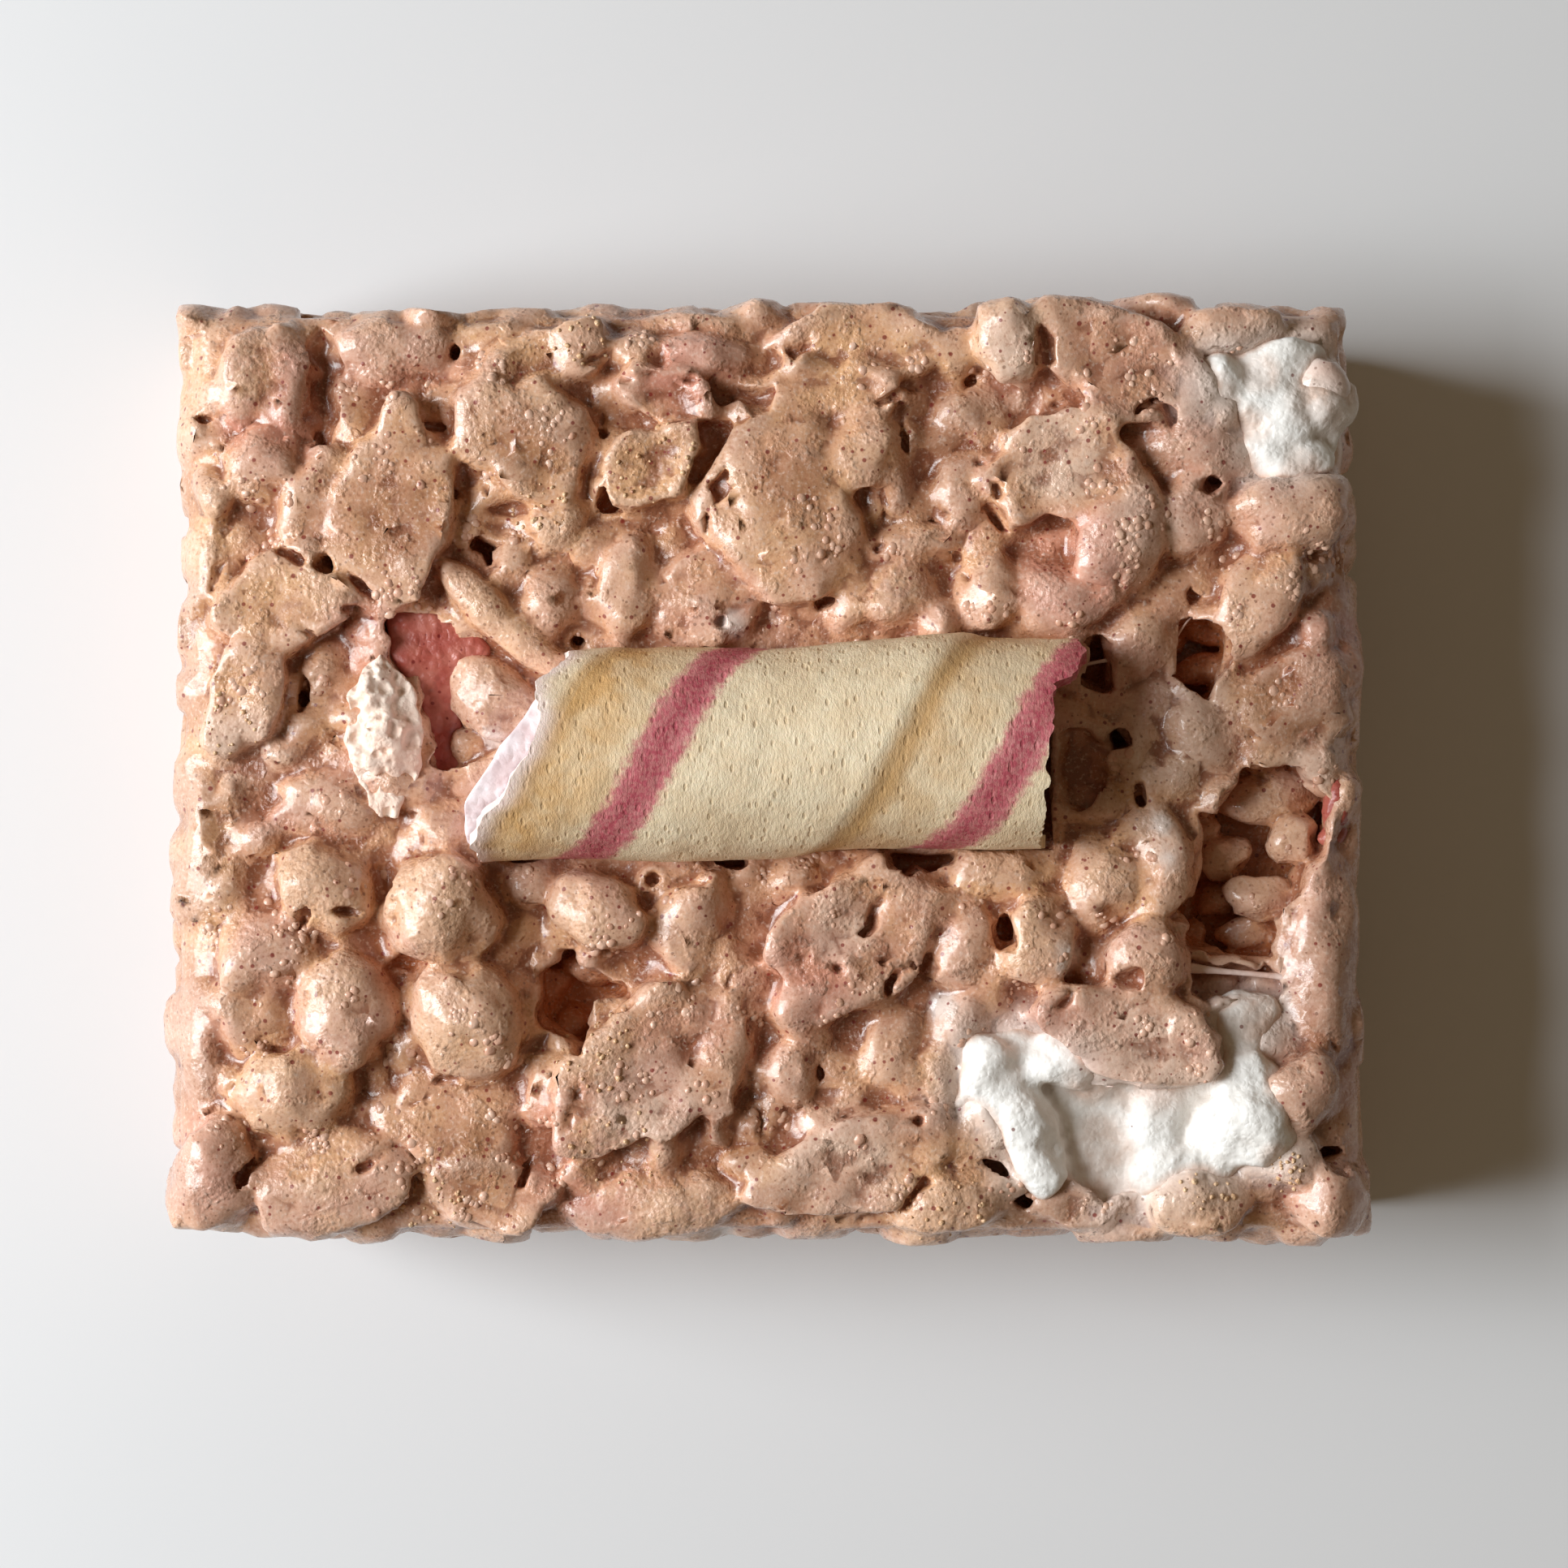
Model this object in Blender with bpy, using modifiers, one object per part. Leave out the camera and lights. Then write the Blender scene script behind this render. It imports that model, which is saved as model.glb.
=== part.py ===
# Puffed-rice bar in pink marshmallow glaze, with a striped rolled wafer sunk in its top.
# Metres, +Z up. The origin is on the underside, at the middle of the bar's outline.
# +X runs along the bar and along the wafer, +Y to the bar's far long side.
import math
import random

import bmesh
import bpy
from mathutils import Matrix, Vector, noise

MM = 0.001
GAP = 0.5 * MM

# Fused bodies are resurfaced to even facets, with about this many triangles each.
BLOCK_VOXEL = 0.55 * MM
BLOCK_FACETS = 10200
TOPPING_VOXEL = 0.4 * MM
TOPPING_FACETS_PER_LUMP = 110
SMOOTH_ROUNDS = 2
FLAT_FOOT = 0.45 * MM

# The cereal core, a four-cornered slab a little inside the outline.
CORE_CORNERS = [(-48.8, -37.0), (49.0, -37.4), (47.0, 36.8), (-47.6, 36.8)]
CORE_TOP = 24.2 * MM
LEFT_EDGE = 4.2 * MM
SIDE_EDGE = 2.4 * MM
FOOT_EDGE = 0.8 * MM
SHARP_EDGE = math.radians(50)

# The rolled wafer: a thin shell round a cream core, lying along X.
WAFER_AXIS_Y = 1.9 * MM
WAFER_AXIS_Z = 27.2 * MM
WAFER_RADIUS = 8.75 * MM
WAFER_WALL = 1.1 * MM
WAFER_SIDES = 30
WAFER_RINGS = 6
# Where the shell ends, as (angle from the top towards +Y in degrees, x in mm).
LEFT_TEAR = [(-180, -20.5), (-100, -23.5), (-55, -24.0), (-27, -24.5), (0, -22.0), (75, -16.5), (110, -17.0)]
RIGHT_TEAR = [(-180, 23.2), (-70, 22.6), (25, 22.8), (40, 23.5), (60, 25.9), (80, 25.8), (120, 24.0)]
CREAM_GAP = 0.5 * MM

# Fused bodies are resurfaced to even facets, with about this many triangles each.
BLOCK_VOXEL = 0.55 * MM
BLOCK_FACETS = 10200
TOPPING_VOXEL = 0.4 * MM
TOPPING_FACETS_PER_LUMP = 110
SMOOTH_ROUNDS = 2
FLAT_FOOT = 0.45 * MM
CREAM_LEFT = -24.4 * MM
CREAM_SLANT = 0.42
CREAM_RIGHT = 24.2 * MM
TROUGH_ENDS = (-25.9 * MM, 27.1 * MM)

# Pieces on top, each (x, y, length, width, turn in degrees, lift) in mm.
# The lift is how far the piece's middle stands above the core's top.
FLAKE_THICKNESS = 4.4
FLAKE_SIDES = 12
FLAKES = [
    (-30.5, 22.0, 18.0, 10.5, 82, 1.6),
    (-19.3, 27.8, 10.8, 10.6, 20, 1.9),
    (2.0, 24.0, 16.0, 14.0, 70, 2.0),
    (8.0, 27.0, 9.0, 6.8, 60, 1.6),
    (5.0, 32.0, 10.0, 4.8, -10, 1.0),
    (8.0, 35.3, 13.0, 6.2, 8, 0.6),
    (29.0, 34.6, 13.6, 9.0, -12, 1.6),
    (38.3, 36.9, 9.5, 4.4, 4, 0.6),
    (23.5, 25.4, 11.0, 10.4, 30, 1.7),
    (-37.7, 23.0, 9.6, 5.2, 75, 1.0),
    (-16.8, 35.2, 8.0, 5.2, 15, 0.8),
    (-31.5, 35.0, 10.6, 5.4, 0, 0.0),
    (7.0, -14.2, 14.5, 12.6, 35, 1.4),
    (30.0, -21.6, 14.6, 7.2, -5, 2.6),
    (6.5, -32.6, 14.8, 8.0, 26, 1.2),
    (-25.5, -28.6, 11.2, 9.0, -15, 0.2),
    (-10.6, -25.4, 15.0, 11.0, 55, 1.5),
    (-3.6, -23.0, 13.8, 5.0, 84, 1.0),
    (-36.0, -34.0, 14.0, 7.8, 10, 0.8),
    (-39.5, 14.2, 11.4, 8.6, 32, 1.4),
    (-43.2, 6.0, 10.8, 7.0, 80, 1.2),
    (-8.5, 31.0, 7.6, 4.2, -15, 0.8),
    (-9.7, 25.8, 9.6, 6.2, 25, 1.4),
    (-5.5, 14.4, 9.6, 7.4, 20, 0.6),
    (-24.0, -35.0, 12.0, 6.4, -6, 0.4),
    (-8.5, -35.6, 15.0, 5.6, 4, 0.2),
    (-36.8, -2.6, 10.0, 5.4, 8, 0.4),
    (44.0, 6.4, 9.4, 8.0, 30, 0.4),
]

# Puffed grains and rounded lumps, in the same form as the flakes.
GRAIN_HEIGHT = 0.86
GRAIN_SIDES = 9
GRAINS = [
    (-43.6, 33.0, 8.6, 4.6, 85, 0.8),
    (-40.6, 31.4, 13.6, 4.8, 88, 0.4),
    (-42.0, 25.6, 6.6, 6.0, 30, 0.8),
    (-22.5, 36.0, 7.4, 3.4, 4, 0.0),
    (-5.3, 34.6, 7.8, 3.4, -8, 1.4),
    (-11.2, 34.8, 4.6, 3.2, 10, 1.0),
    (-5.0, 36.9, 11.0, 3.4, -2, 0.0),
    (-17.4, 20.6, 5.4, 4.4, 40, 1.0),
    (-18.3, 14.0, 6.4, 5.4, 60, 0.8),
    (-22.0, 13.2, 13.4, 3.6, -43, 1.8),
    (-12.0, 15.4, 9.2, 4.8, 85, 0.8),
    (19.8, 35.8, 7.4, 5.6, 88, 2.4),
    (15.4, 35.2, 4.4, 3.8, 20, 1.2),
    (15.8, 23.4, 7.6, 4.6, 68, 0.8),
    (12.0, 21.8, 4.6, 3.2, 80, 0.4),
    (35.5, 27.0, 9.6, 5.6, -22, 1.0),
    (35.0, 21.6, 8.6, 6.0, 70, 0.8),
    (29.0, 19.6, 11.2, 7.4, 72, 1.6),
    (24.4, 14.2, 9.2, 6.4, -8, 0.8),
    (18.2, 15.2, 5.4, 7.2, 0, 0.4),
    (10.4, 15.0, 6.4, 5.6, 20, 0.8),
    (7.0, 15.8, 8.0, 3.4, 78, 1.2),
    (11.8, 19.0, 7.2, 3.2, 6, 1.2),
    (43.0, 21.2, 10.6, 7.4, 4, 1.2),
    (41.0, 14.4, 10.4, 6.4, 60, 1.0),
    (31.2, 11.0, 7.0, 5.0, 88, 0.4),
    (31.6, 5.8, 6.4, 4.4, 20, -0.4),
    (35.6, 3.4, 7.2, 5.4, -30, 0.2),
    (33.0, -0.6, 7.4, 5.0, 10, 0.0),
    (46.0, -16.4, 16.6, 5.2, 88, 0.4),
    (32.4, -8.6, 13.0, 4.6, 80, 1.2),
    (31.0, -15.6, 7.2, 7.0, 10, 1.6),
    (27.4, -9.2, 8.0, 6.4, 70, 0.6),
    (19.4, -8.6, 8.4, 5.0, -10, 0.4),
    (16.2, -13.8, 8.0, 5.2, 80, 0.8),
    (22.2, -14.0, 8.2, 6.4, 86, 1.4),
    (10.0, -23.0, 6.4, 4.2, 78, 0.6),
    (14.0, -24.6, 6.6, 3.2, 86, 0.8),
    (2.0, -24.4, 6.2, 4.2, 80, 0.8),
    (44.3, -26.4, 6.6, 5.8, 60, 1.6),
    (43.4, -32.0, 5.2, 4.2, 0, 0.8),
    (35.8, -35.6, 8.8, 6.0, 10, 0.8),
    (46.8, -35.4, 6.8, 6.2, 50, 0.6),
    (15.2, -35.6, 9.4, 6.0, 6, 0.8),
    (16.8, -30.6, 7.0, 4.4, 12, 0.4),
    (-1.2, -32.6, 5.4, 3.2, 5, 1.0),
    (26.6, -36.4, 9.0, 3.6, 2, -0.4),
    (-14.2, -11.6, 8.8, 6.2, -20, 1.6),
    (-7.0, -12.6, 9.2, 6.0, 78, 0.8),
    (-26.7, -11.2, 10.4, 9.4, -20, 1.8),
    (-19.6, -9.0, 5.0, 4.0, 0, 0.4),
    (-25.0, -20.2, 10.6, 9.4, 60, 1.6),
    (-17.8, -26.6, 7.2, 5.2, 66, 0.8),
    (-39.2, -26.4, 9.4, 6.8, 8, 1.2),
    (-35.2, -19.8, 9.8, 7.4, 88, 1.6),
    (-37.0, -9.4, 9.2, 7.4, 0, 1.4),
    (-41.6, -15.0, 9.0, 7.6, 30, 0.6),
    (-42.6, -20.4, 6.6, 6.0, 60, 0.2),
    (-46.2, -33.6, 8.6, 6.8, 84, 0.8),
    (-47.0, -6.0, 13.0, 4.4, 88, -0.2),
    (-47.4, -22.0, 13.0, 4.4, 90, -0.4),
    (-46.4, 17.6, 11.0, 4.2, 88, -0.2),
    (-29.4, -7.0, 5.6, 4.0, 70, 0.2),
    (-30.6, -14.8, 5.0, 4.0, 30, -0.2),
    (24.0, 31.0, 5.0, 3.6, 40, 0.2),
    (46.0, 31.6, 6.0, 5.0, 80, 0.6),
]

# Pits between the pieces, as (x, y, length, width, turn, depth under the core's top) in mm.
PIT_MOUTH = 3.0
PITS = [
    (37.6, -10.6, 8.4, 7.4, 60, 11.0),
    (42.4, -5.4, 8.6, 5.8, 40, 8.0),
    (36.2, 9.2, 8.0, 5.6, 75, 9.0),
    (35.7, 14.9, 4.8, 3.0, 70, 7.0),
    (28.6, 3.4, 6.0, 4.8, 70, 9.0),
    (27.3, 9.2, 6.4, 3.6, 85, 5.0),
    (-17.0, -18.8, 9.4, 5.8, 76, 7.5),
    (-23.2, 18.4, 4.8, 4.0, 60, 6.0),
    (-36.7, 17.8, 4.2, 2.6, -10, 5.0),
    (13.0, -8.4, 8.0, 3.6, -8, 5.5),
    (14.6, 30.0, 7.0, 5.0, 60, 3.5),
    (37.0, 24.2, 3.2, 3.0, 0, 5.0),
    (-38.8, 6.8, 5.0, 2.6, 80, 4.5),
    (19.4, -33.6, 5.0, 2.6, -40, 4.5),
]
# Grains lying at the bottom of the largest pit, with how far they lie under the core's top.
PIT_GRAINS = [(44.0, -6.2, 5.2, 4.0, 10, -5.6), (41.2, -10.4, 5.6, 4.2, 35, -6.2), (37.6, 9.2, 3.4, 2.8, 0, -5.0)]

# Small seeded grains fill the top between the placed pieces, and others face the sides.
SEED = 41
FILL_SIDES = 8
FILL_TRIES = 340
FILL_SPAN = (46.0, 35.5)
FILL_LENGTH = (4.4, 6.6)
FILL_LIFT = (0.0, 0.7)
SPACING = 0.66
SLIMNESS = (0.55, 0.75)
SIDE_LENGTH = (6.2, 9.4)
SIDE_SPACING = 8.6
SIDE_ROWS = (5.0, 12.4, 19.6)
SIDE_THICKNESS = 5.4
SIDE_SINK = (0.7, 1.5)
SIDE_TURN = 55

# Toppings, each a few joined lumps (x, y, z, length, width, height, turn) in mm.
MARSHMALLOW_FRONT = [
    (17.4, -26.6, 24.6, 6.6, 4.0, 4.0, 10),
    (20.8, -24.6, 24.2, 7.6, 6.6, 6.0, 30),
    (29.4, -27.6, 22.6, 18.0, 11.6, 8.4, -12),
    (38.0, -27.4, 22.8, 12.4, 10.4, 8.0, 20),
    (34.6, -31.4, 22.8, 8.6, 5.6, 6.4, 30),
    (23.4, -32.0, 22.8, 8.6, 5.0, 6.0, 70),
]
MARSHMALLOW_BACK = [
    (38.6, 33.4, 22.8, 7.0, 5.4, 6.0, 10),
    (42.4, 30.6, 22.4, 9.6, 8.6, 7.4, 40),
    (44.4, 26.6, 22.6, 6.4, 5.0, 5.6, 70),
]
STRAWBERRY = [(-27.9, 10.4, 22.8, 8.2, 4.6, 5.6, -12), (-27.2, 5.2, 22.0, 9.2, 2.8, 5.0, -80)]
SIDE_BERRY = [(47.3, -2.0, 22.4, 5.8, 3.2, 5.4, 84)]
PALE_CRUMB = [(-32.2, 5.2, 24.6, 8.2, 5.8, 6.4, 70), (-32.4, 0.2, 24.4, 8.6, 5.4, 6.2, 84)]

# Colours as linear base colours, and each material's roughness.
LOOKS = {
    "glazed_cereal": ((0.60, 0.34, 0.25), 0.35),
    "baked_wafer": ((0.72, 0.55, 0.31), 0.70),
    "cream": ((0.74, 0.62, 0.68), 0.55),
    "marshmallow": ((0.84, 0.84, 0.82), 0.60),
    "strawberry": ((0.42, 0.10, 0.10), 0.45),
    "crumb": ((0.72, 0.52, 0.44), 0.75),
}


def clear_scene():
    for obj in list(bpy.data.objects):
        bpy.data.objects.remove(obj, do_unlink=True)


def new_collection(name):
    group = bpy.data.collections.new(name)
    bpy.context.scene.collection.children.link(group)
    return group


def make_material(name):
    color, roughness = LOOKS[name]
    material = bpy.data.materials.new(name)
    material.use_nodes = True
    shader = material.node_tree.nodes["Principled BSDF"]
    shader.inputs["Base Color"].default_value = (*color, 1.0)
    shader.inputs["Roughness"].default_value = roughness
    return material


def object_from(bm, name, group):
    bmesh.ops.recalc_face_normals(bm, faces=bm.faces)
    mesh = bpy.data.meshes.new(name)
    bm.to_mesh(mesh)
    bm.free()
    obj = bpy.data.objects.new(name, mesh)
    group.objects.link(obj)
    return obj


# One rounded piece: a sphere pressed to its size, made uneven by smooth noise.
def lump(name, group, center, size, turn, grow=0.0, sides=8, rings=5, uneven=0.16, lean=None):
    bm = bmesh.new()
    bmesh.ops.create_uvsphere(bm, u_segments=sides, v_segments=rings, radius=1.0)
    half = [0.5 * MM * extent + grow for extent in size]
    lean = Matrix.Identity(4) if lean is None else lean
    place = Matrix.Translation(Vector(center) * MM) @ lean @ Matrix.Rotation(math.radians(turn), 4, "Z")
    offset = Vector((center[0] * 0.37, center[1] * 0.53, 4.0))
    for vert in bm.verts:
        swell = 1.0 + uneven * noise.noise(vert.co * 1.3 + offset)
        pressed = Vector([c * h for c, h in zip(vert.co * swell, half)])
        vert.co = place @ pressed
    return object_from(bm, name, group)


# The slab: a cube drawn out to its four corners, with its edges rounded.
def make_core(group):
    bm = bmesh.new()
    bmesh.ops.create_cube(bm, size=1.0)
    corner_of = {(-1, -1): 0, (1, -1): 1, (1, 1): 2, (-1, 1): 3}
    for vert in bm.verts:
        key = (int(math.copysign(1, vert.co.x)), int(math.copysign(1, vert.co.y)))
        x, y = CORE_CORNERS[corner_of[key]]
        top = vert.co.z > 0
        vert.co = Vector((x * MM, y * MM, CORE_TOP if top else 0.0))
    left = [e for e in bm.edges if all(v.co.x < 0 and v.co.z > 0 for v in e.verts)]
    bmesh.ops.bevel(bm, geom=left, offset=LEFT_EDGE, segments=3, profile=0.5, affect="EDGES")
    bm.normal_update()
    sharp = [e for e in bm.edges if e.calc_face_angle() > SHARP_EDGE]
    foot = [e for e in sharp if all(v.co.z < 1e-6 for v in e.verts)]
    rest = [e for e in sharp if e not in foot]
    bmesh.ops.bevel(bm, geom=rest, offset=SIDE_EDGE, segments=2, profile=0.5, affect="EDGES")
    foot = [e for e in bm.edges if all(v.co.z < 1e-6 for v in e.verts)]
    bmesh.ops.bevel(bm, geom=foot, offset=FOOT_EDGE, segments=1, profile=0.5, affect="EDGES")
    return object_from(bm, "cereal_block", group)


def add_top_pieces(group):
    top = CORE_TOP / MM
    for i, (x, y, length, width, turn, lift) in enumerate(FLAKES):
        size = (length, width, FLAKE_THICKNESS)
        lump(f"flake_{i}", group, (x, y, top + lift), size, turn, sides=FLAKE_SIDES, rings=6, uneven=0.34)
    for i, (x, y, length, width, turn, lift) in enumerate(GRAINS + PIT_GRAINS):
        size = (length, width, max(3.0, GRAIN_HEIGHT * width))
        lump(f"grain_{i}", group, (x, y, top + lift), size, turn, sides=GRAIN_SIDES, rings=6)


def is_free(x, y, reach, taken):
    return all(math.hypot(x - px, y - py) > SPACING * (reach + pr) for px, py, pr in taken)


def in_trough(x, y, reach):
    beside = abs(y - WAFER_AXIS_Y / MM) > WAFER_RADIUS / MM + 0.5 * reach
    return not beside and TROUGH_ENDS[0] < x * MM < TROUGH_ENDS[1]


# Seeded small grains wherever the placed pieces and toppings leave room.
def add_fill(group, rng):
    toppings = MARSHMALLOW_FRONT + MARSHMALLOW_BACK + STRAWBERRY + SIDE_BERRY + PALE_CRUMB
    outlines = [piece[:4] for piece in FLAKES + GRAINS + PITS]
    outlines += [(x, y, length, width) for x, y, _, length, width, _, _ in toppings]
    placed = [(x, y, mean_radius(length, width)) for x, y, length, width in outlines]
    for i in range(FILL_TRIES):
        x = rng.uniform(-FILL_SPAN[0], FILL_SPAN[0])
        y = rng.uniform(-FILL_SPAN[1], FILL_SPAN[1])
        length = rng.uniform(*FILL_LENGTH)
        width = length * rng.uniform(*SLIMNESS)
        lift = rng.uniform(*FILL_LIFT)
        turn = rng.uniform(0, 180)
        reach = mean_radius(length, width)
        if in_trough(x, y, reach) or not is_free(x, y, reach, placed):
            continue
        placed.append((x, y, reach))
        center = (x, y, CORE_TOP / MM + lift)
        lump(f"fill_{i}", group, center, (length, width, width), turn, sides=FILL_SIDES)


def mean_radius(length, width):
    return 0.25 * (length + width)


# Rows of seeded grains stand a little out of each side.
def add_side_pieces(group, rng):
    for i, corner in enumerate(CORE_CORNERS):
        start = Vector(corner)
        side = Vector(CORE_CORNERS[(i + 1) % 4]) - start
        along = side.normalized()
        face = Vector((along.x, along.y, 0.0))
        out = Vector((along.y, -along.x, 0.0))
        lean = Matrix((face, Vector((0, 0, 1)), out)).transposed().to_4x4()
        columns = int(side.length / SIDE_SPACING)
        for j, row in enumerate(SIDE_ROWS):
            for k in range(columns):
                share = (k + 0.5 + 0.3 * (j % 2) + rng.uniform(-0.22, 0.22)) / (columns + 0.3)
                spot = start + side * share
                length = rng.uniform(*SIDE_LENGTH)
                width = length * rng.uniform(*SLIMNESS)
                z = row + rng.uniform(-1.0, 1.0)
                center = Vector((spot.x, spot.y, z)) - out * rng.uniform(*SIDE_SINK)
                turn = rng.uniform(-SIDE_TURN, SIDE_TURN)
                size = (length, width, SIDE_THICKNESS)
                lump(f"side_{i}_{j}_{k}", group, center, size, turn, sides=FILL_SIDES, lean=lean)


def add_pits(group):
    top = CORE_TOP / MM
    for i, (x, y, length, width, turn, depth) in enumerate(PITS):
        size = (length, width, 2.0 * (depth + PIT_MOUTH))
        lump(f"pit_{i}", group, (x, y, top + PIT_MOUTH), size, turn, sides=GRAIN_SIDES, rings=6)


# Joins or cuts with a whole collection, applies it and removes the collection.
def boolean(target, tools, operation, solver="EXACT"):
    if tools.objects:
        step = target.modifiers.new(operation.lower(), "BOOLEAN")
        step.operation = operation
        step.operand_type = "COLLECTION"
        step.collection = tools
        step.solver = solver
        apply_modifiers(target)
    for obj in list(tools.objects):
        bpy.data.objects.remove(obj, do_unlink=True)
    bpy.data.collections.remove(tools)


def apply_modifiers(obj):
    graph = bpy.context.evaluated_depsgraph_get()
    result = bpy.data.meshes.new_from_object(obj.evaluated_get(graph))
    obj.modifiers.clear()
    old = obj.data
    obj.data = result
    bpy.data.meshes.remove(old)


# Even facets all over, which also closes what a Boolean leaves touching.
def remesh(obj, voxel):
    fine = obj.modifiers.new("even", "REMESH")
    fine.mode = "VOXEL"
    fine.voxel_size = voxel
    apply_modifiers(obj)


# A little smoothing, a flat foot, then far fewer triangles.
def thin_out(obj, facets):
    soft = obj.modifiers.new("soft", "SMOOTH")
    soft.factor = 0.5
    soft.iterations = SMOOTH_ROUNDS
    apply_modifiers(obj)
    for vert in obj.data.vertices:
        if vert.co.z < FLAT_FOOT:
            vert.co.z = 0.0
    fewer = obj.modifiers.new("fewer", "DECIMATE")
    fewer.ratio = facets / (2.0 * len(obj.data.polygons))
    apply_modifiers(obj)
    keep_largest(obj)


def islands(bm):
    left = set(bm.verts)
    found = []
    while left:
        seed = left.pop()
        group = [seed]
        for vert in group:
            for edge in vert.link_edges:
                other = edge.other_vert(vert)
                if other in left:
                    left.remove(other)
                    group.append(other)
        found.append(group)
    return found


# Cuts can leave loose scraps and sealed hollows. Only the largest island stays.
def keep_largest(obj):
    bm = bmesh.new()
    bm.from_mesh(obj.data)
    parts = sorted(islands(bm), key=len, reverse=True)
    scraps = [vert for part in parts[1:] for vert in part]
    bmesh.ops.delete(bm, geom=scraps, context="VERTS")
    bm.to_mesh(obj.data)
    bm.free()


def add_lumps(name, lumps, group, grow=0.0):
    made = []
    for i, (x, y, z, length, width, height, turn) in enumerate(lumps):
        size = (length, width, height)
        made.append(lump(f"{name}_{i}", group, (x, y, z), size, turn, grow=grow, sides=12, rings=8, uneven=0.3))
    return made


def make_topping(name, lumps, group):
    parts = new_collection(f"{name}_lumps")
    first = add_lumps(name, lumps, parts)[0]
    parts.objects.unlink(first)
    group.objects.link(first)
    first.name = name
    boolean(first, parts, "UNION")
    remesh(first, TOPPING_VOXEL)
    thin_out(first, TOPPING_FACETS_PER_LUMP * len(lumps))
    return first


def end_at(tear, angle):
    turned = (angle + 180.0) % 360.0 - 180.0
    points = tear + [(tear[0][0] + 360.0, tear[0][1])]
    for (a0, x0), (a1, x1) in zip(points, points[1:]):
        if a0 <= turned <= a1:
            return x0 + (x1 - x0) * (turned - a0) / (a1 - a0)
    return points[0][1]


# An open tube whose rings run between the two torn ends, thickened inwards.
def make_wafer(group):
    bm = bmesh.new()
    bmesh.ops.create_grid(bm, x_segments=WAFER_SIDES, y_segments=WAFER_RINGS, size=1.0)
    for vert in bm.verts:
        angle = 180.0 * vert.co.x
        share = 0.5 + 0.5 * vert.co.y
        left = end_at(LEFT_TEAR, angle)
        right = end_at(RIGHT_TEAR, angle)
        turn = math.radians(angle)
        y = WAFER_AXIS_Y + WAFER_RADIUS * math.sin(turn)
        z = WAFER_AXIS_Z + WAFER_RADIUS * math.cos(turn)
        vert.co = Vector(((left + (right - left) * share) * MM, y, z))
    bmesh.ops.remove_doubles(bm, verts=bm.verts, dist=0.01 * MM)
    wafer = object_from(bm, "wafer_roll", group)
    wall = wafer.modifiers.new("wall", "SOLIDIFY")
    wall.thickness = WAFER_WALL
    wall.offset = -1.0
    return wafer


# The cream: a round bar through the shell, cut slanting at its left end.
def make_cream(group):
    radius = WAFER_RADIUS - WAFER_WALL - CREAM_GAP
    bm = bmesh.new()
    bmesh.ops.create_cone(
        bm, cap_ends=True, segments=WAFER_SIDES, radius1=radius, radius2=radius, depth=CREAM_RIGHT - CREAM_LEFT
    )
    turn = Matrix.Rotation(math.radians(90), 4, "Y")
    middle = Vector((0.5 * (CREAM_LEFT + CREAM_RIGHT), WAFER_AXIS_Y, WAFER_AXIS_Z))
    for vert in bm.verts:
        vert.co = turn @ vert.co
        if vert.co.x < 0:
            vert.co.x += CREAM_SLANT * max(0.0, vert.co.y + 0.3 * radius)
        vert.co += middle
    return object_from(bm, "roll_cream", group)


def add_trough(group):
    left, right = TROUGH_ENDS
    bpy.ops.mesh.primitive_cylinder_add(
        vertices=WAFER_SIDES,
        radius=(WAFER_RADIUS + GAP) / math.cos(math.pi / WAFER_SIDES),
        depth=right - left,
        location=(0.5 * (left + right), WAFER_AXIS_Y, WAFER_AXIS_Z),
        rotation=(0.0, math.radians(90), 0.0),
    )
    trough = bpy.context.object
    for home in list(trough.users_collection):
        home.objects.unlink(trough)
    group.objects.link(trough)
    return trough


def main():
    clear_scene()
    rng = random.Random(SEED)
    bar = new_collection("rice_crispy_treat")

    toppings = {
        "marshmallow_front": (MARSHMALLOW_FRONT, "marshmallow"),
        "marshmallow_back": (MARSHMALLOW_BACK, "marshmallow"),
        "berry_piece": (STRAWBERRY, "strawberry"),
        "berry_bit_side": (SIDE_BERRY, "strawberry"),
        "pale_crumb": (PALE_CRUMB, "crumb"),
    }
    materials = {name: make_material(name) for name in LOOKS}

    block = make_core(bar)
    pieces = new_collection("pieces")
    add_top_pieces(pieces)
    add_fill(pieces, rng)
    add_side_pieces(pieces, rng)
    boolean(block, pieces, "UNION")
    remesh(block, BLOCK_VOXEL)

    cutters = new_collection("cutters")
    hollows = new_collection("hollows")
    trough = add_trough(cutters)
    for name, (lumps, _) in toppings.items():
        add_lumps(f"{name}_pocket", lumps, hollows, grow=GAP)
    add_pits(hollows)
    boolean(trough, hollows, "UNION")
    remesh(trough, BLOCK_VOXEL)
    boolean(block, cutters, "DIFFERENCE", solver="MANIFOLD")
    remesh(block, BLOCK_VOXEL)
    thin_out(block, BLOCK_FACETS)
    block.data.materials.append(materials["glazed_cereal"])

    make_wafer(bar).data.materials.append(materials["baked_wafer"])
    make_cream(bar).data.materials.append(materials["cream"])
    for name, (lumps, look) in toppings.items():
        make_topping(name, lumps, bar).data.materials.append(materials[look])


main()
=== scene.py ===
import bpy
import math
import random
import numpy as np
from mathutils import Euler, Matrix, Vector
from mathutils.bvhtree import BVHTree


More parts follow.
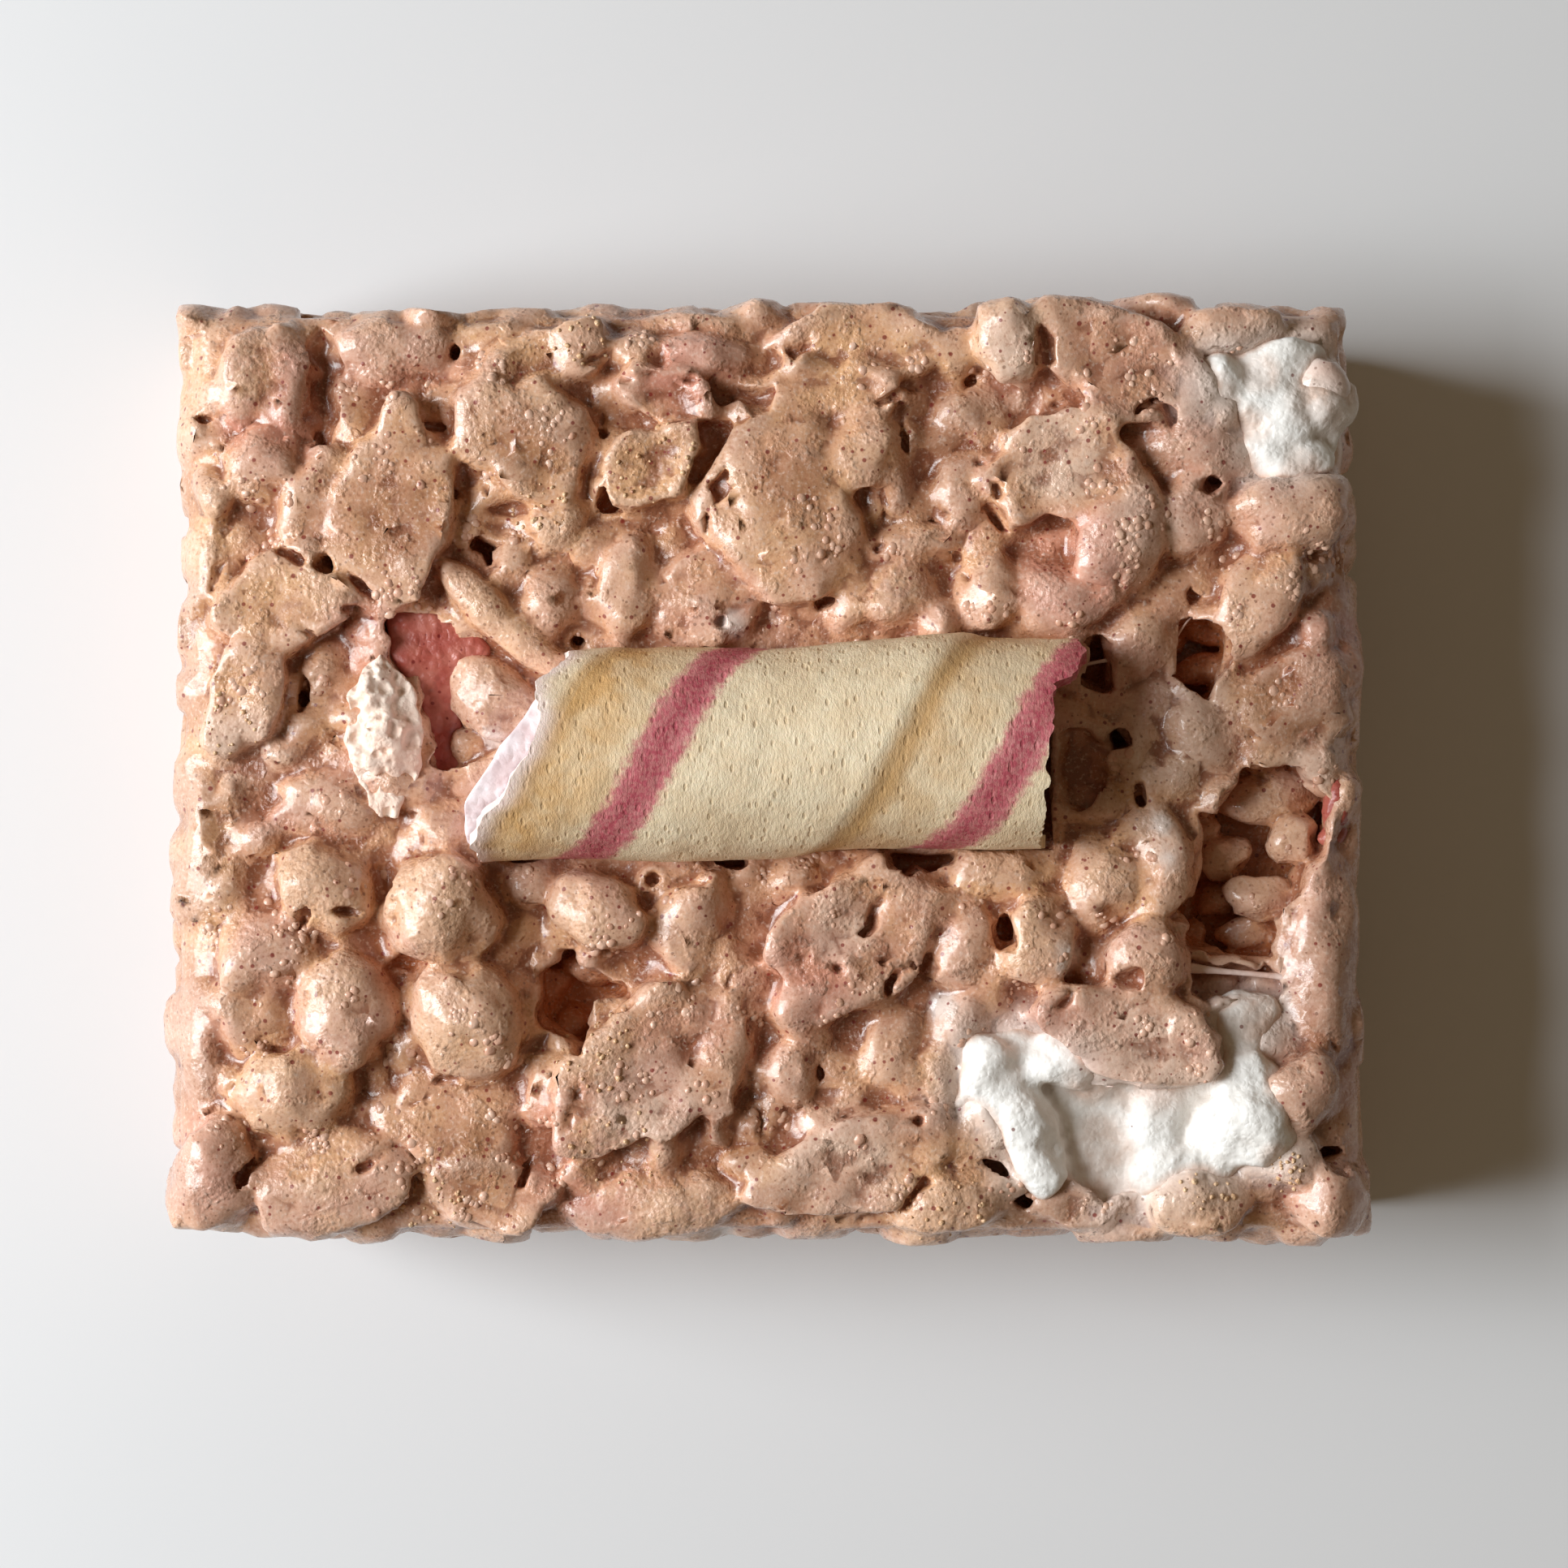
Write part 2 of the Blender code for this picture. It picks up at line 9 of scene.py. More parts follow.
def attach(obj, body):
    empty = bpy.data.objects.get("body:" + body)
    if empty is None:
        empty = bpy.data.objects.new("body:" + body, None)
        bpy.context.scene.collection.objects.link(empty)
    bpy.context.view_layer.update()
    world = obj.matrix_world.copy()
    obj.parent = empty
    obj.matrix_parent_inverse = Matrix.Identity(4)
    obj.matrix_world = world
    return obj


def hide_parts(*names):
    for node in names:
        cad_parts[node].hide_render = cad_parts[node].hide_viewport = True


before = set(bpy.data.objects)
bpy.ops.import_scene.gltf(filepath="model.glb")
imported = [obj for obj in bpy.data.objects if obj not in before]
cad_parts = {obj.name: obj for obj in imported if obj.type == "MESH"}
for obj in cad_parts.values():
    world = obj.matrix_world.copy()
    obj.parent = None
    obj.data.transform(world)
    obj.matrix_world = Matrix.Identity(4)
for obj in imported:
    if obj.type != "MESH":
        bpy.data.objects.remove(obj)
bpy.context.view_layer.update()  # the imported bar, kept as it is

mm = 0.001
scene = bpy.context.scene


# small helpers, used by every piece

def deselect():
    bpy.ops.object.select_all(action="DESELECT")


def pick(obj):
    deselect()
    obj.select_set(True)
    bpy.context.view_layer.objects.active = obj


def startEdit(obj):  # edit mode, with the whole mesh selected
    pick(obj)
    bpy.ops.object.mode_set(mode="EDIT")
    bpy.ops.mesh.select_all(action="SELECT")


def endEdit():
    bpy.ops.object.mode_set(mode="OBJECT")


def pointsOf(obj, kind="co"):
    flat = np.empty(len(obj.data.vertices) * 3, np.float32)
    obj.data.vertices.foreach_get(kind, flat)
    return flat.reshape(-1, 3)


def setPoints(obj, points):
    obj.data.vertices.foreach_set("co", np.ascontiguousarray(points, np.float32).reshape(-1))
    obj.data.update()


def applyModifier(obj, kind, **settings):
    pick(obj)
    modifier = obj.modifiers.new(kind.lower(), kind)
    for key, value in settings.items():
        setattr(modifier, key, value)
    bpy.ops.object.modifier_apply(modifier=modifier.name)


def fuse(obj, voxel):  # everything that overlaps becomes one closed skin
    applyModifier(obj, "REMESH", mode="VOXEL", voxel_size=voxel * mm)


def soften(obj, rounds=1):
    applyModifier(obj, "SMOOTH", factor=0.5, iterations=rounds)


def cutAway(obj, cutter):
    applyModifier(obj, "BOOLEAN", operation="DIFFERENCE", object=cutter, solver="MANIFOLD")
    bpy.data.objects.remove(cutter, do_unlink=True)


def join(objects, name):
    pick(objects[0])
    for obj in objects:
        obj.select_set(True)
    if len(objects) > 1:
        bpy.ops.object.join()
    whole = bpy.context.view_layer.objects.active
    whole.name = name
    whole.data.name = name
    pick(whole)
    bpy.ops.object.transform_apply(location=True, rotation=True, scale=True)
    return whole


def triangleCount(obj):
    return sum(len(face.vertices) - 2 for face in obj.data.polygons)


def thin(obj, triangles):
    applyModifier(obj, "DECIMATE", ratio=min(1, triangles / triangleCount(obj)))


def addAttribute(obj, name, values):
    layers = obj.data.attributes
    layer = layers.get(name) or layers.new(name, "FLOAT", "POINT")
    layer.data.foreach_set("value", np.ascontiguousarray(values, np.float32))


def paintGroup(obj, name, weights, steps=8):  # a painted weight, in a few steps
    layer = obj.vertex_groups.new(name=name)
    level = np.round(np.clip(weights, 0, 1) * steps).astype(int)
    for step in range(1, steps + 1):
        layer.add(np.nonzero(level == step)[0].tolist(), step / steps, "REPLACE")


def roughen(obj, kind, size, height, group=""):  # size and height in mm
    texture = bpy.data.textures.new(f"{obj.name}{kind}", kind)
    texture.noise_scale = size * mm
    applyModifier(obj, "DISPLACE", texture=texture, texture_coords="LOCAL", strength=height * mm,
                  mid_level=0.5, vertex_group=group)
    bpy.data.textures.remove(texture)


def topOf(obj, x, y):  # whether, where and at what slope a plumb line at x, y meets the object
    return obj.ray_cast(Vector((x * mm, y * mm, 60 * mm)), Vector((0, 0, -1)))[:3]


lattice = np.random.default_rng(7).random((48, 48, 48))


def cloud(points, size, shift=0.0):  # soft noise between -1 and 1, its lumps as big as size
    spot = np.asarray(points, float) / size + shift
    cell = np.floor(spot).astype(int)
    part = spot - cell
    part = part * part * (3 - 2 * part)
    total = np.zeros(len(spot))
    for corner in range(8):
        step = np.array([corner & 1, corner >> 1 & 1, corner >> 2])
        weight = np.prod(np.where(step, part, 1 - part), axis=1)
        index = (cell + step) % len(lattice)
        total += weight * lattice[index[:, 0], index[:, 1], index[:, 2]]
    return 2 * total - 1


def around(points, spots):  # 1 inside the round spots (x, y, radius), 0 away from them
    inside = np.zeros(len(points))
    for x, y, radius in spots:
        away = np.hypot(points[:, 0] / mm - x, points[:, 1] / mm - y) / radius
        inside = np.maximum(inside, np.clip((1.35 - away) / 0.6, 0, 1))
    return inside


def relax(obj, points, rounds):  # each point moves towards the mean of its neighbours
    edges = np.empty(len(obj.data.edges) * 2, np.int32)
    obj.data.edges.foreach_get("vertices", edges)
    first, second = edges.reshape(-1, 2).T
    size = len(points)
    degree = np.maximum(np.bincount(edges, minlength=size), 1)
    points = points.astype(float)
    for _ in range(rounds):
        sums = [np.bincount(first, points[second, k], size) + np.bincount(second, points[first, k], size)
                for k in range(3)]
        points = 0.5 * points + 0.5 * np.stack(sums, 1) / degree[:, None]
    return points


def hollows(obj, rounds, depth):  # 1 where the skin lies so many mm under its surroundings, -1 above
    points = pointsOf(obj).astype(float)
    sunk = np.sum((relax(obj, points, rounds) - points) * pointsOf(obj, "normal"), axis=1)
    return np.clip(sunk / (depth * mm), -1, 1)


# one smooth ball of each fineness is modelled, and every lump is a reshaped copy of it
balls = {}
for fineness in (2, 3, 4):
    deselect()
    bpy.ops.mesh.primitive_ico_sphere_add(subdivisions=fineness, radius=1)
    balls[fineness] = bpy.context.object


# a rounded piece: its center and size in mm, its turn and lean in degrees
def lump(center, size, turn=0.0, lean=(0.0, 0.0), uneven=0.16, bend=0.0, cup=0.0, press=0.0, seed=0.0, fineness=3):
    obj = balls[fineness].copy()
    obj.data = balls[fineness].data.copy()
    scene.collection.objects.link(obj)
    points = pointsOf(obj).astype(float)
    shift = np.array([center[0] * 0.37 + seed, center[1] * 0.53, 4.0])
    swell = 1 + 1.3 * uneven * cloud(points, 0.75, shift) + 0.6 * uneven * cloud(points, 0.3, shift)
    points = points * swell[:, None]
    rim = np.clip(np.hypot(points[:, 0], points[:, 1]), 0, 1.3)
    points[:, 2] = np.sign(points[:, 2]) * np.abs(points[:, 2]) ** (1 - press)  # press flattens the top
    points[:, 2] += cup * (rim ** 2 - 0.4)
    points = points * np.array(size) / 2
    if bend:  # the ends of a grain curl sideways
        points[:, 1] += bend * size[1] * (points[:, 0] / (size[0] / 2)) ** 2
    turned = Matrix.Rotation(math.radians(turn), 3, "Z")
    turned = turned @ Matrix.Rotation(math.radians(lean[0]), 3, "X") @ Matrix.Rotation(math.radians(lean[1]), 3, "Y")
    setPoints(obj, (points @ np.array(turned).T + np.array(center)) * mm)
    return obj


# a block over a drawn outline, narrower at its foot
def prism(outline, low, high, inset=1.1):
    deselect()
    bpy.ops.mesh.primitive_circle_add(vertices=len(outline), radius=1, fill_type="NGON")
    obj = bpy.context.object
    setPoints(obj, [(x * mm, y * mm, low * mm) for x, y in outline])
    startEdit(obj)
    bpy.ops.mesh.extrude_region_move(TRANSFORM_OT_translate={"value": (0, 0, (high - low) * mm)})
    bpy.ops.mesh.select_all(action="SELECT")
    bpy.ops.mesh.normals_make_consistent(inside=False)
    endEdit()
    points = pointsOf(obj)
    bottom = points[:, 2] < (low + 0.1) * mm
    middle = points[bottom].mean(0)
    reach = np.linalg.norm(points[bottom] - middle, axis=1).mean() / mm
    points[bottom] = middle + (points[bottom] - middle) * max(0.35, 1 - inset / reach)
    setPoints(obj, points)
    return obj


# the cereal mass: a slab, its placed pieces, seeded grains in between, and gaps cut into it
massSettings = {
    "seed": 41, "corners": [(-50, -38.3), (50.2, -38.5), (48, 38.6), (-48.8, 38.4)],
    "coreFoot": 0.7, "coreTop": 24.9, "coreShare": 0.972, "rimLow": 18.5, "rimTop": 24.3, "rimInset": 2.4, "bevel": 0.8,
    "pieceLevel": 24.2, "flakeThickness": 4.0, "flakeLean": 3.5, "grainHeight": 0.84, "gapRim": 0.9,
    "tear": 0.48,
    "lower": {"tries": 900, "sizes": (3.2, 6.0), "gap": 0.64, "lean": 30, "level": 24.9, "lift": (-1.3, 0.2),
              "shape": (2.2, 1.5, 1.5), "bend": 0.15, "press": 0.0},
    "upper": {"tries": 1600, "sizes": (2.4, 5.0), "gap": 0.62, "lean": 15, "level": 24.2, "lift": (-0.2, 0.7),
              "shape": (2.3, 1.6, 1.5), "bend": 0.12, "press": 0.25},
    "under": {"columns": 14, "rows": 11, "apart": (7.0, 6.9), "stray": 1.6, "lengths": (6.5, 9.5), "widths": (5.0, 7.0),
              "height": 3.4},
    "side": {"tries": 1500, "heights": (1.6, 22.6), "halves": (1.5, 4.0), "gap": 0.66, "sunk": (-0.4, 0.9)},
    "baseVoxel": 0.42, "voxel": 0.3, "lowerGoo": 0.8, "upperGoo": 0.18, "sideLevel": 16, "sideShare": 0.46,
    "triangles": 196000, "crisp": 0.4, "crispLimit": 0.5, "pressed": 0.35,
}
# placed pieces as seen from above: x, y, length, width, turn, lift
flakes = [
    (-30.5, 22, 18, 10.5, 82, 1.6), (-19.3, 27.8, 10.8, 10.6, 20, 1.9), (2, 24, 16, 14, 70, 2),
    (8, 27, 9, 6.8, 60, 1.6), (5, 32, 10, 4.8, -10, 1), (8, 35.3, 13, 6.2, 8, 0.6), (29, 34.6, 13.6, 9, -12, 1.6),
    (38.3, 36.9, 9.5, 4.4, 4, 0.6), (23.5, 25.4, 11, 10.4, 30, 1.7), (-37.7, 23, 9.6, 5.2, 75, 1),
    (-16.8, 35.2, 8, 5.2, 15, 0.8), (-31.5, 35, 10.6, 5.4, 0, 0), (7, -14.2, 14.5, 12.6, 35, 1.4),
    (30, -21.6, 14.6, 7.2, -5, 2.6), (6.5, -32.6, 14.8, 8, 26, 1.2), (-25.5, -28.6, 11.2, 9, -15, 0.2),
    (-10.6, -25.4, 15, 11, 55, 1.5), (-3.6, -23, 13.8, 5, 84, 1), (-36, -34, 14, 7.8, 10, 0.8),
    (-39.5, 14.2, 11.4, 8.6, 32, 1.4), (-43.2, 6, 10.8, 7, 80, 1.2), (-8.5, 31, 7.6, 4.2, -15, 0.8),
    (-9.7, 25.8, 9.6, 6.2, 25, 1.4), (-5.5, 14.4, 9.6, 7.4, 20, 0.6), (-24, -35, 12, 6.4, -6, 0.4),
    (-8.5, -35.6, 15, 5.6, 4, 0.2), (-36.8, -2.6, 10, 5.4, 8, 0.4), (44, 6.4, 9.4, 8, 30, 0.4),
]
grains = [
    (-43.6, 33, 8.6, 4.6, 85, 0.8), (-40.6, 31.4, 13.6, 4.8, 88, 0.4), (-42, 25.6, 6.6, 6, 30, 0.8),
    (-22.5, 36, 7.4, 3.4, 4, 0), (-5.3, 34.6, 7.8, 3.4, -8, 1.4), (-11.2, 34.8, 4.6, 3.2, 10, 1),
    (-5, 36.9, 11, 3.4, -2, 0), (-17.4, 20.6, 5.4, 4.4, 40, 1), (-18.3, 14, 6.4, 5.4, 60, 0.8),
    (-22.3, 12.5, 13.4, 3.6, -43, 1.8), (-12, 15.4, 9.2, 4.8, 85, 0.8), (19.8, 35.8, 7.4, 5.6, 88, 2.4),
    (15.4, 35.2, 4.4, 3.8, 20, 1.2), (15.8, 23.4, 7.6, 4.6, 68, 0.8), (12, 21.8, 4.6, 3.2, 80, 0.4),
    (35.5, 27, 9.6, 5.6, -22, 1), (35, 21.6, 8.6, 6, 70, 0.8), (29, 19.6, 11.2, 7.4, 72, 1.6),
    (24.4, 14.2, 9.2, 6.4, -8, 0.8), (18.2, 15.2, 5.4, 7.2, 0, 0.4), (10.4, 15, 6.4, 5.6, 20, 0.8),
    (7, 15.8, 8, 3.4, 78, 1.2), (11.8, 19, 7.2, 3.2, 6, 1.2), (43, 21.2, 10.6, 7.4, 4, 1.2),
    (41, 14.4, 10.4, 6.4, 60, 1), (31.2, 11, 7, 5, 88, 0.4), (31.6, 5.8, 6.4, 4.4, 20, -0.4),
    (35.6, 3.4, 7.2, 5.4, -30, 0.2), (33, -0.6, 7.4, 5, 10, 0), (46.2, -16.4, 16.6, 6.4, 88, -0.2),
    (32.4, -8.6, 13, 4.6, 80, 1.2), (31, -15.6, 7.2, 7, 10, 1.6), (27.4, -9.2, 8, 6.4, 70, 0.6),
    (19.4, -8.6, 8.4, 5, -10, 0.4), (16.2, -13.8, 8, 5.2, 80, 0.8), (22.2, -14, 8.2, 6.4, 86, 1.4),
    (10, -23, 6.4, 4.2, 78, 0.6), (14, -24.6, 6.6, 3.2, 86, 0.8), (2, -24.4, 6.2, 4.2, 80, 0.8),
    (44.2, -26.4, 7, 6.4, 60, 2), (43.4, -32, 5.4, 4.4, 0, 1.4), (35.8, -35.6, 8.8, 6, 10, 0.8),
    (46.8, -35.4, 6.8, 6.2, 50, 0.6), (15.2, -35.6, 9.4, 6, 6, 0.8), (16.8, -30.6, 7, 4.4, 12, 0.4),
    (-1.2, -32.6, 5.4, 3.2, 5, 1), (26.6, -36.4, 9, 3.6, 2, -0.4), (-14.2, -11.6, 8.8, 6.2, -20, 1.6),
    (-7, -12.6, 9.2, 6, 78, 0.8), (-26.7, -11.2, 10.4, 9.4, -20, 1.8), (-19.6, -9, 5, 4, 0, 0.4),
    (-25, -20.2, 10.6, 9.4, 60, 1.6), (-17.8, -26.6, 7.2, 5.2, 66, 0.8), (-39.2, -26.4, 9.4, 6.8, 8, 1.2),
    (-35.2, -19.8, 9.8, 7.4, 88, 1.6), (-37, -9.4, 9.2, 7.4, 0, 1.4), (-41.6, -15, 9, 7.6, 30, 0.6),
    (-42.6, -20.4, 6.6, 6, 60, 0.2), (-46.2, -33.6, 8.6, 6.8, 84, 0.8), (-47, -6, 13, 4.4, 88, -0.2),
    (-47.4, -22, 13, 4.4, 90, -0.4), (-46.4, 17.6, 11, 4.2, 88, -0.2), (-29.4, -7, 5.6, 4, 70, 0.2),
    (-30.6, -14.8, 5, 4, 30, -0.2), (24, 31, 5, 3.6, 40, 0.2), (46, 31.6, 6, 5, 80, 0.6),
]
# the outline of each gap, as x and y, then its depth under the piece level
gaps = [
    ([(34.8, 16.4), (35.5, 15.9), (36.9, 14.2), (34.3, 13.3)], 5),
    ([(33.9, 13), (36.4, 13.5), (38.8, 12.6), (38.7, 9.7), (37.9, 7.5), (36.5, 5), (34.8, 6.3), (32.1, 7.9),
      (33.4, 10.4)], 6.8),
    ([(25.8, 11.5), (27.6, 12.3), (28.5, 11.3), (28.9, 6.3), (28, 6.2), (25.1, 7.5), (25.8, 9.5)], 5.8),
    ([(27.8, 3.7), (28.3, 4.3), (29.3, 3.9), (30.4, 3.3), (30.9, 1.9), (30.2, 1.5), (28, 1.4)], 6.5),
    ([(35.2, -3.4), (36.8, -3.1), (38.6, -0.6), (39.1, 0.7), (42, 0.8), (44.5, 1.6), (45.5, -0.6), (47.2, -2.4),
      (47.3, -4.5), (46.1, -7), (45.2, -8.5), (44.5, -10.8), (42.9, -12.1), (42.7, -16.2), (34.6, -16), (33.9, -12.8),
      (32.1, -12.8), (33.7, -11.2), (34.8, -8.3), (35.1, -5.8)], 6.6),
    ([(34.2, -15.4), (43, -15.4), (43.8, -18.3), (42.6, -20), (40, -18.6), (36, -18.8), (34.4, -17.8)], 3.4),
    ([(-18.5, -14), (-16.2, -13.6), (-15, -15.5), (-11.4, -16.9), (-11.9, -18.1), (-14.4, -18.5), (-14, -21),
      (-15.2, -24), (-17.5, -23), (-19.8, -21.5), (-19.4, -17)], 4.8),
    ([(-25.6, 18.6), (-24.4, 20.9), (-21, 18.8), (-22.2, 15.9), (-23.4, 16.5), (-24.6, 17.6)], 4.2),
    ([(-38.4, 17.6), (-37.7, 18.6), (-36, 18.9), (-35.1, 18.3), (-34.6, 16.8), (-36.2, 16), (-37.4, 16.8)], 4),
    ([(-39.8, 9.2), (-38.4, 8.6), (-37.5, 6), (-38.4, 4.5), (-39.6, 6)], 3.6),
    ([(-5.5, -6.4), (-0.8, -6.6), (-1.2, -8.2), (-3, -8.8), (-5.2, -8)], 3.6),
    ([(8.8, -6.2), (16.5, -6.2), (17, -8.2), (14, -9), (12.4, -8.4), (11.4, -9.8), (9.4, -9.2)], 4),
    ([(3.9, -22.8), (4.9, -23.2), (5.3, -25), (4.6, -26.2), (3.7, -25.8), (4.1, -24.4)], 3.2),
    ([(15.1, -32.4), (19.6, -31.4), (20.3, -32.2), (22.3, -34.4), (18.3, -33.7), (16.9, -32.9)], 4.3),
    ([(18.9, -34.4), (22.3, -34.6), (23.3, -36.1), (20.8, -36.7), (19.8, -35.6)], 4.3),
    ([(45.2, -30), (46.6, -31), (48.8, -32.6), (49, -33.5), (46.4, -32.8), (45.2, -32.2)], 3.6),
    ([(7.6, -10.2), (8.5, -10.4), (8.8, -13.8), (7.9, -14)], 3),
    ([(-26.9, 37.4), (-25.6, 37.4), (-25.2, 34.7), (-26.6, 33.4), (-27.9, 32.9), (-26.9, 34.4)], 3.2),
    ([(-14.4, 24.3), (-13, 24.4), (-12, 22.6), (-10.9, 20.9), (-12.5, 20.3), (-14.8, 21), (-15.1, 22.2)], 2.4),
    ([(-17, 11.8), (-15.2, 12), (-14.6, 10.4), (-17, 10)], 3.6),
    ([(15.3, 32.5), (15.9, 33.1), (17.5, 33.1), (17.9, 31.7), (15.6, 31.4)], 3.6),
    ([(35.9, 25.2), (37.6, 25.5), (38.7, 24.2), (37.4, 22.7), (36.1, 23.4)], 3.6),
    ([(-29.8, 9.6), (-24.6, 9.2), (-19.8, 7.4), (-19.6, 5), (-22, 1.8), (-25, 0), (-28.4, -0.9), (-29.4, 4)], 4.6),
    ([(-32.4, 13.2), (-29.5, 13.7), (-26.1, 13.3), (-22.8, 10.4), (-25.6, 8.4), (-28.8, 8.1), (-31.8, 8.4)], 2.4),
    ([(16.6, -26.8), (17.2, -24.4), (18.4, -22.4), (21.6, -22), (23.2, -24.6), (26, -25.8), (31, -26.2), (36, -26),
      (38, -23.6), (38.4, -20.6), (41, -20.4), (42, -24), (41.4, -27.6), (42, -30.2), (40, -31.8), (35.8, -32.4),
      (33, -33.8), (31.2, -35.6), (27.6, -36), (24, -34.4), (21.4, -33.4), (20.6, -30.4), (18, -29)], 2.6),
    ([(18, -11), (19.9, -10.6), (20.2, -14.6), (18.6, -15.2)], 3),
    ([(30.2, -0.4), (31.2, 0.2), (31.6, -3.6), (30.6, -4.6)], 3.2),
]
